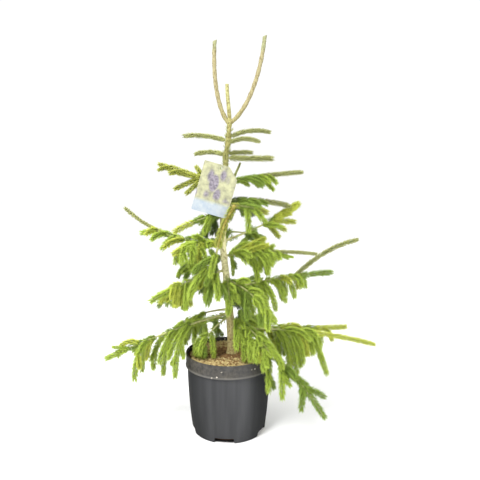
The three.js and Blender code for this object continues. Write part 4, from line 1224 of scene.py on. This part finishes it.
def strewing(name, what):
    """The start of a tree that strews copies of one object on a surface."""
    tree, given = node_group(name, {what: "Object", "Density": "Float", "Seed": "Int", "Finish": "Material"})
    wires = {"Mesh": out(given, "Geometry"), "Density": out(given, "Density"), "Seed": out(given, "Seed")}
    return tree, given, put(tree, "GeometryNodeDistributePointsOnFaces", wires)


def strewn(tree, given, spread, what, turn, size):
    """The end of such a tree, with each copy's turn and size."""
    shape = put(tree, "GeometryNodeObjectInfo", {"Object": out(given, what)})
    copies = put(tree, "GeometryNodeInstanceOnPoints",
                 {"Points": out(spread, "Points"), "Instance": out(shape, "Geometry"), "Rotation": turn,
                  "Scale": size})
    end_group(tree, given, out(copies, "Instances"))


peg_tree, given, spread = strewing("pegs on bark", "Peg")
bigger = put(peg_tree, "FunctionNodeRandomValue", {"Min": 0.6, "Max": 1.3, "Seed": out(given, "Seed")})
strewn(peg_tree, given, spread, "Peg", out(spread, "Rotation"), out(bigger, "Value"))

peg_points = [(radius * math.cos(a), radius * math.sin(a), z)
              for radius, z in ((PEG["foot_radius"], PEG["foot"]), (PEG["top_radius"], PEG["top"]))
              for a in np.arange(PEG["corners"]) * 2 * math.pi / PEG["corners"]]
peg = mesh_piece("peg", peg_points, prism_faces(PEG["corners"]))
peg_stops = [(0.3, (0.16, 0.11, 0.05)), (0.7, (0.40, 0.32, 0.16))]
peg_finish = mottled("needle_pegs", 0.85, 0.2, (150,), peg_stops)
carrier = link_in(bpy.data.objects.new("peg_guide", leaders.data.copy()))
pegs = realised("leader_pegs", carrier, peg_tree,
                {"Peg": peg, "Density": PEG["density"], "Seed": SEED, "Finish": peg_finish})
bpy.data.objects.remove(peg)
dress(leaders, "shoot", "leader_left", "leader_right")
dress(pegs, "shoot")

# %% [markdown]
# ## The pot
# A nursery pot is blown or moulded plastic: a slightly bellied wall, a wide band under the rim with a
# ridge at its lower edge, a rolled lip and drain notches round the foot. A profile turned round the axis
# makes all but the notches, which a Boolean cuts. The wall is closed, inside and out, so it has a true
# thickness.

# %% Pot
def pot_outer(z):
    """Radius of the wall below the band: a curve through foot, belly and shoulder."""
    a, b, c = POT["floor"], POT["belly_height"], POT["shoulder_height"]
    ra, rb, rc = POT["foot_radius"], POT["belly_radius"], POT["shoulder_radius"]
    return (ra * (z - b) * (z - c) / ((a - b) * (a - c)) + rb * (z - a) * (z - c) / ((b - a) * (b - c))
            + rc * (z - a) * (z - b) / ((c - a) * (c - b)))


def pot_inner(z):
    return mix(POT["foot_radius"], POT["rim_radius"] - POT["lip"], z / POT["height"]) - POT["wall"]


def turned_piece(name, profile, around):
    """A profile of radius and height turned round the axis, with both ends on the axis."""
    rows = profile[1:-1]
    verts = [(r * math.cos(2 * math.pi * k / around), r * math.sin(2 * math.pi * k / around), z)
             for r, z in rows for k in range(around)]
    verts += [(0, 0, profile[0][1]), (0, 0, profile[-1][1])]
    return mesh_piece(name, verts, sleeve_faces(len(rows), around))


profile = [(0, 0), (94.4, 0), (96.4, 0.6), (97.3, 1.8), (97.6, 3.4)]
profile += [(pot_outer(z), z) for z in np.linspace(10, 172, 19)]
profile += [(110.0, 174.6), (111.2, 175.6), (113.2, 176.4), (114.4, 177.4), (114.8, 178.8), (114.5, 180.2),
            (113.7, 181.2), (113.3, 183), (113.2, 192), (112.9, 204), (113.2, 208), (113.5, 209.8),
            (113.2, 211.2), (112.2, 212), (110.8, 211.9), (109.7, 210.9), (109.2, 209)]
profile += [(pot_inner(z), z) for z in (203, 190, 150, 100, 50, 12, POT["floor"])] + [(0, POT["floor"])]
pot = turned_piece("pot_plastic", profile, 128)

# %% Drain notches
NOTCH = dict(count=5, first=264, inner=87.5, outer=106, low=(-4, 27), high=(14, 24))
SHARP_POT = math.radians(38)
notch_points, notch_faces = [], []
for bearing in np.radians(NOTCH["first"] + 360 / NOTCH["count"] * np.arange(NOTCH["count"])):
    along = np.array([math.cos(bearing), math.sin(bearing)])
    across = np.array([-math.sin(bearing), math.cos(bearing)])
    first = len(notch_points)
    for z, half in (NOTCH["low"], NOTCH["high"]):
        for r, side in ((NOTCH["inner"], -1), (NOTCH["outer"], -1), (NOTCH["outer"], 1), (NOTCH["inner"], 1)):
            notch_points.append((*(along * r + across * side * half), z))
    notch_faces += prism_faces(4, first)
notches = mesh_piece("drain_notches", notch_points, notch_faces)
cut = pot.modifiers.new("notches", "BOOLEAN")
cut.object = notches
cut.operation = "DIFFERENCE"
cut.solver = "EXACT"
cut_pot = plain_mesh(pot)
pot.modifiers.remove(cut)
pot.data = cut_pot
bpy.data.objects.remove(notches)
pot.data.set_sharp_from_angle(angle=SHARP_POT)
print("pot:", len(pot.data.polygons), "faces,", NOTCH["count"], "drain notches")

# %% [markdown]
# ## Pot plastic
# The plastic is a dusty charcoal. Its colour carries painted light and shade: lighter in front and behind
# and darker at its sides. Soft upright streaks vary its gloss, as moulding does, and its colour as a
# painted sheen. The band and the lip hold brownish dust, a pale line runs along the ridge, and a few pale
# specks stick to the band. Painted textures could hold all this, but patterns from noise need no picture
# files.

# %% Pot finish
pot_finish, tree, shader = finish("pot_plastic", 0.5, 0.08)
shader.inputs["IOR"].default_value = 1.2
place = here(tree)
height = axis(tree, place, "Z")
streak = mottle(tree, mapped(tree, place, (1, 1, 0.06)), 26, 3, 0.5)
# painted light and shade: the plastic is lighter in front and behind and darker at its sides
painted_light_side = put(tree, "ShaderNodeMapRange",
               {"Value": axis(tree, place, "Y"), "From Min": -0.1, "From Max": 0.1})
painted_light_and_shade = shades(tree, out(painted_light_side, "Result"), [
    (0.0, (0.072, 0.073, 0.076)), (0.16, (0.034, 0.035, 0.036)), (0.4, (0.011, 0.0115, 0.012)),
    (0.6, (0.014, 0.0145, 0.015)), (0.9, (0.046, 0.047, 0.049))])
# painted sheen: the upright streaks also lighten and darken the colour, besides varying the gloss
base = times(tree, painted_light_and_shade, shades(tree, streak, [(0.32, 0.62), (0.68, 1.0)]))
dusty = shades(tree, mottle(tree, place, 120, 5, 0.7),
               [(0.35, (0.045, 0.042, 0.036)), (0.65, (0.125, 0.112, 0.09))])
on_band = shades(tree, height, [(0.176, 0.0), (0.1785, 1.0)])
cloud = shades(tree, mottle(tree, place, 18, 4, 0.6), [(0.3, 0.25), (0.7, 0.8)])
body = blend(tree, grey(tree, times(tree, on_band, cloud)), base, dusty)
ridge = shades(tree, height, [(0.1768, 0.0), (0.1782, 0.4), (0.1798, 0.4), (0.181, 0.0)])
body = blend(tree, grey(tree, ridge), body, (0.22, 0.21, 0.19))
spots = put(tree, "ShaderNodeTexVoronoi", {"Vector": place, "Scale": 62.0})
speck = shades(tree, out(spots, "Distance"), [(0.12, 1.0), (0.17, 0.0)])
rare = shades(tree, mottle(tree, place, 33, 2), [(0.54, 0.0), (0.58, 1.0)])
speck = grey(tree, times(tree, times(tree, speck, rare), on_band))
paint(tree, shader, blend(tree, speck, body, (0.55, 0.5, 0.42)))
gloss = put(tree, "ShaderNodeMapRange",
            {"Value": streak, "From Min": 0.3, "From Max": 0.7, "To Min": 0.42, "To Max": 0.6})
tree.links.new(out(gloss, "Result"), shader.inputs["Roughness"])
bumps(tree, shader, mottle(tree, place, 900, 3), 0.08, 0.0005)
wear(pot, pot_finish)
dress(pot, "pot", "pot")

# %% [markdown]
# ## Soil
# The pot is filled to just under its rim. The soil is a low mound with a rough top, turned round the axis
# and then lifted by noise, except close to the stem. A modifier could lift it too, but the mesh has to be
# plain in the end. Its finish is a dark, moist compost.

# %% Soil
SOIL_GAP = 0.3
ROUGH = dict(above=199, middle=8.5, start=15, span=14)
CLODS = ((1.6, 17), (0.9, 6))  # height and width of the coarse and the fine ones
SLICE = 3.7  # where the pattern in space is cut


def soil_top(r):
    return float(np.interp(r, [0, SOIL["trunk_seat"], SOIL["mound_radius"], SOIL["edge_radius"]],
                           [SOIL["crown"], SOIL["crown"], SOIL["mound"], SOIL["edge"]]))


def soil_lift(x, y):
    p = Vector((x, y, SLICE))
    return sum(height * noise.noise(p / width) for height, width in CLODS)


soil_edge = pot_inner(SOIL["edge"]) - SOIL_GAP
rows = [(0, 3.4), (84, 3.4), (85, 11), (pot_inner(14) - SOIL_GAP, 14), (pot_inner(100) - SOIL_GAP, 100),
        (soil_edge, 200)]
rows += [(r, soil_top(r)) for r in np.linspace(soil_edge - 2, 2, 44)] + [(0, SOIL["crown"])]
soil = turned_piece("soil_mound", rows, 90)
for vertex in soil.data.vertices:
    x, y, z = (c / MM for c in vertex.co)
    if z > ROUGH["above"]:
        near_stem = np.clip((math.hypot(x - ROUGH["middle"], y) - ROUGH["start"]) / ROUGH["span"], 0, 1)
        vertex.co.z += soil_lift(x, y) * near_stem * MM
soil_stops = [(0.3, (0.05, 0.025, 0.012)), (0.6, (0.12, 0.064, 0.028)), (0.8, (0.21, 0.125, 0.055))]
wear(soil, mottled("compost", 0.95, 0.1, (140, 5, 0.7), soil_stops, ((300, 5, 0.7), 0.8, 0.002)))
dress(soil, "soil", "soil")

# %% [markdown]
# ## Mulch
# Bark chips lie on the soil: flat, broken pieces, tan where they have dried and brown near the stem.
# Geometry Nodes strew two shapes of chip in two finishes on rings that follow the mound, so none hangs
# over the rim. Chips that fall by a rigid body simulation would settle more truly, but they would take
# time on every run.

# %% Mulch chips
PROUD = 0.8
CHIP_TOP = dict(long=0.82, wide=0.8, along=0.3, across=-0.2, tilt=0.05)


def chip_shape(name, outline, thick):
    """A broken flake: an outline with a smaller, shifted top."""
    low = [(x, y, -thick / 2) for x, y in outline]
    high = [(CHIP_TOP["long"] * x + CHIP_TOP["along"], CHIP_TOP["wide"] * y + CHIP_TOP["across"],
             thick / 2 + CHIP_TOP["tilt"] * x) for x, y in outline]
    chip = mesh_piece(name, low + high, prism_faces(len(outline)))
    chip.data.polygons.foreach_set("use_smooth", [False] * len(chip.data.polygons))
    return chip


def mulch_bed(name, inner, outer, rings=10, around=40):
    """A ring of the soil's top, a little proud, for chips to lie on."""
    verts = [(r * math.cos(a) + ROUGH["middle"] * (1 - r / outer), r * math.sin(a), soil_top(r) + PROUD)
             for r in np.linspace(inner, outer, rings) for a in 2 * math.pi * np.arange(around) / around]
    faces = [(i * around + k, (i + 1) * around + k, (i + 1) * around + (k + 1) % around,
              i * around + (k + 1) % around) for i in range(rings - 1) for k in range(around)]
    return mesh_piece(name, verts, faces)


def chip_finish(name, dark, light):
    return mottled(name, 0.9, 0.15, (75, 4, 0.7), [(0.3, dark), (0.7, light)], ((420, 4, 0.7), 0.5, 0.001))


chip_tree, given, spread = strewing("mulch chips", "Chip")


def any_between(low, high):
    wires = {"Min": low, "Max": high, "Seed": out(given, "Seed")}
    return out(put(chip_tree, "FunctionNodeRandomValue", wires, data_type="FLOAT_VECTOR"), "Value")


tilt = any_between((-0.5, -0.5, 0.0), (0.5, 0.5, 6.28))
turn = out(put(chip_tree, "FunctionNodeEulerToRotation", {"Euler": tilt}), "Rotation")
strewn(chip_tree, given, spread, "Chip", turn, any_between((0.5, 0.5, 0.6), (1.3, 1.2, 1.5)))
print("chip tree:", len(chip_tree.nodes), "nodes")

# %% Mulch
LONG_CHIP = [(-8, -1.5), (-3, -3), (5, -2.2), (8.5, 0.4), (4, 2.6), (-5, 2.4)]
BROAD_CHIP = [(-5, -3), (0, -4.2), (5, -2.4), (4.4, 2.8), (-1, 4), (-5.4, 1.6)]
STREWN = [("tan", "long", 45, 98, 24000.0), ("tan", "broad", 52, 100, 26000.0),
          ("brown", "long", 20, 95, 16000.0), ("brown", "broad", 18, 70, 22000.0)]
chips = dict(long=chip_shape("long_chip", LONG_CHIP, 2.2), broad=chip_shape("broad_chip", BROAD_CHIP, 1.8))
chip_looks = dict(tan=chip_finish("mulch_tan", (0.37, 0.275, 0.11), (0.60, 0.485, 0.24)),
                  brown=chip_finish("mulch_brown", (0.12, 0.064, 0.026), (0.31, 0.185, 0.08)))
for look, shape, inner, outer, density in STREWN:
    name = f"mulch_{look}_{shape}"
    values = {"Chip": chips[shape], "Density": density, "Seed": SEED + len(name), "Finish": chip_looks[look]}
    dress(realised(name, mulch_bed(name + "_guide", inner, outer), chip_tree, values), "soil")
for chip in chips.values():
    bpy.data.objects.remove(chip)

# %% [markdown]
# ## The label
# A thin printed card hangs on the stem by a plastic strap. It is built flat in its own plane, with one
# clipped corner, rounded edges and a hole, bowed a little as such cards are, thickened and then set in
# place. A cube cut by Booleans would do, but it would have no even map for the print.

# %% Label card
CARD = dict(rounding=3.0, corner_points=5, hole_points=20, cross_cuts=6, bow=1.6)
SHARP_CARD = math.radians(40)


def card_outline():
    half, top, cut_off = LABEL["width"] / 2, LABEL["height"] / 2, LABEL["corner"]
    shape = [(-half, -top), (half, -top), (half, top - cut_off), (half - cut_off, top), (-half, top)]
    points = []
    for i, corner in enumerate(shape):
        before, after = np.array(shape[i - 1]), np.array(shape[(i + 1) % len(shape)])
        a = np.array(corner) + unit(before - corner) * CARD["rounding"]
        b = np.array(corner) + unit(after - corner) * CARD["rounding"]
        for t in np.linspace(0, 1, CARD["corner_points"]):
            points.append((1 - t) ** 2 * a + 2 * t * (1 - t) * np.array(corner) + t ** 2 * b)
    return points


def flat_card():
    """The outline and the hole, filled and cut across so that the card can bow."""
    sheet = bmesh.new()
    high, radius = LABEL["height"], LABEL["hole_radius"]
    rim = [sheet.verts.new((*p, 0)) for p in card_outline()]
    hole = [sheet.verts.new((radius * math.cos(a), high / 2 - LABEL["hole_drop"] + radius * math.sin(a), 0))
            for a in 2 * math.pi * np.arange(CARD["hole_points"]) / CARD["hole_points"]]
    edges = [sheet.edges.new((ring[i], ring[(i + 1) % len(ring)]))
             for ring in (rim, hole) for i in range(len(ring))]
    bmesh.ops.triangle_fill(sheet, use_beauty=True, use_dissolve=False, edges=edges, normal=(0, 0, 1))
    for cut_row in range(CARD["cross_cuts"]):
        place = -high / 2 + high * (cut_row + 1) / (CARD["cross_cuts"] + 1)
        bmesh.ops.bisect_plane(sheet, geom=sheet.verts[:] + sheet.edges[:] + sheet.faces[:], dist=0.01,
                               plane_co=(0, place, 0), plane_no=(0, 1, 0))
    bmesh.ops.recalc_face_normals(sheet, faces=sheet.faces[:])
    if sheet.faces[:][0].normal.z < 0:
        bmesh.ops.reverse_faces(sheet, faces=sheet.faces[:])
    return sheet


def card_mesh():
    """The card with its map, bowed."""
    sheet, wide, high = flat_card(), LABEL["width"], LABEL["height"]
    layer = sheet.loops.layers.uv.new("print")
    for face in sheet.faces:
        for loop in face.loops:
            x, y, _ = loop.vert.co
            loop[layer].uv = (x / wide + 0.5, y / high + 0.5)
    for vert in sheet.verts:
        x, y, _ = vert.co
        vert.co = (x, y, CARD["bow"] * (y / high * 2) ** 2 - CARD["bow"] / 2)
    data = bpy.data.meshes.new("label_card_print")
    sheet.to_mesh(data)
    sheet.free()
    return data


card = link_in(bpy.data.objects.new("label_card_print", card_mesh()))
wall = card.modifiers.new("thickness", "SOLIDIFY")
wall.thickness = LABEL["thickness"]
wall.offset = 0
thick_card = plain_mesh(card)
card.modifiers.remove(wall)
card.data = thick_card
card.data.transform(Matrix.Scale(MM, 4) @ label_frame)
card.data.set_sharp_from_angle(angle=SHARP_CARD)
print("label card:", len(card.data.polygons), "faces")

# %% [markdown]
# ## The label's print
# The print is a soft design of its own: a cream field with mauve shapes and a pale blue foot. Cells of a
# Voronoi pattern, stretched aslant, make the shapes, and everything is drawn by nodes on the card's own
# map, so it stays on the card wherever the card hangs.

# %% Label print
card_finish, tree, shader = finish("label_print", 0.38, 0.45)
spot = out(put(tree, "ShaderNodeUVMap", uv_map="print"), "UV")
even = mapped(tree, spot, (0.92, 1.27, 1))
up_card = axis(tree, spot, "Y")
field = shades(tree, mottle(tree, even, 7, 4, 0.6),
               [(0.3, (0.20, 0.20, 0.14)), (0.5, (0.36, 0.36, 0.22)), (0.75, (0.50, 0.50, 0.30))])
aslant = mapped(tree, even, (1.5, 0.8, 1), (0, 0, 0.6))
petals = put(tree, "ShaderNodeTexVoronoi", {"Vector": aslant, "Scale": 2.7, "Randomness": 0.85})
petal = shades(tree, out(petals, "Distance"), [(0.42, 1.0), (0.56, 0.0)])
mauve = shades(tree, mottle(tree, even, 16, 4, 0.6), [(0.35, (0.10, 0.09, 0.11)), (0.6, (0.27, 0.24, 0.28))])
inside = shades(tree, up_card, [(0.26, 0.0), (0.34, 1.0), (0.9, 1.0), (0.95, 0.0)])
picture = blend(tree, grey(tree, times(tree, petal, inside)), field, mauve)
sky = shades(tree, mottle(tree, even, 5, 3), [(0.3, (0.27, 0.33, 0.41)), (0.7, (0.44, 0.47, 0.47))])
foot = grey(tree, shades(tree, up_card, [(0.20, 1.0), (0.27, 0.0)]))
paint(tree, shader, blend(tree, foot, picture, sky))
wear(card, card_finish)
dress(card, "label", "label_card")

# %% [markdown]
# ## The strap
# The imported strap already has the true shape, a flat band drawn to a point through the card's hole, so
# its solid stays and only gets a finish: cloudy plastic, a little yellowed.

# %% Strap finish
strap_stops = [(0.3, (0.50, 0.52, 0.40)), (0.7, (0.72, 0.73, 0.60))]
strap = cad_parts["label_strap"]
wear(strap, mottled("strap_plastic", 0.4, 0.45, (160, 3), strap_stops))
print("strap:", len(strap.data.polygons), "faces, kept from the packed part")

# %% [markdown]
# ## Floor, light and camera
# The stage is a plain pale floor under soft studio light: an even white surround, one broad light from
# the upper left and a weaker one from the right. The camera stands a little above the label and looks
# slightly down, with the lens and place that were fitted to the picture. The plain view transform keeps
# the colours as they are mixed.

# %% Stage
FLOOR_HALF = 9000
bpy.context.scene.view_settings.view_transform = "Standard"
floor_corners = [(x * FLOOR_HALF, y * FLOOR_HALF, 0) for x, y in ((-1, -1), (1, -1), (1, 1), (-1, 1))]
floor = mesh_piece("floor", floor_corners, [(0, 1, 2, 3)])
wear(floor, mottled("floor", 0.9, 0.1, (3,), [(0.3, 0.955), (0.7, 0.975)]))

world = bpy.data.worlds.new("studio")
world.use_nodes = True
surround = world.node_tree.nodes["Background"]
surround.inputs["Color"].default_value = (1, 1, 1, 1)
surround.inputs["Strength"].default_value = 1.05
bpy.context.scene.world = world


def soft_light(name, place, size, watts, aim=(0, 0, 0.5)):
    data = bpy.data.lights.new(name, "AREA")
    data.shape = "DISK"
    data.size = size
    data.energy = watts
    lamp = link_in(bpy.data.objects.new(name, data))
    lamp.location = place
    lamp.rotation_euler = (Vector(aim) - Vector(place)).to_track_quat("-Z", "Y").to_euler()


soft_light("key_light", (-1.1, -1.5, 2.5), 1.2, 85)
soft_light("side_light", (1.8, -1.2, 1.6), 1.2, 14)
print("lights:", len(bpy.data.lights))

# %% Camera
SENSOR = 36
FOCAL_PIXELS = 519
PICTURE_PIXELS = 480
LOOK_DOWN = 8.12
lens = bpy.data.cameras.new("camera")
lens.sensor_width = SENSOR
lens.lens = SENSOR * FOCAL_PIXELS / PICTURE_PIXELS
camera = link_in(bpy.data.objects.new("camera", lens))
camera.location = VIEWER * MM
camera.rotation_euler = (math.radians(90 - LOOK_DOWN), 0, 0)
bpy.context.scene.camera = camera
print("camera:", round(lens.lens, 1), "mm lens")
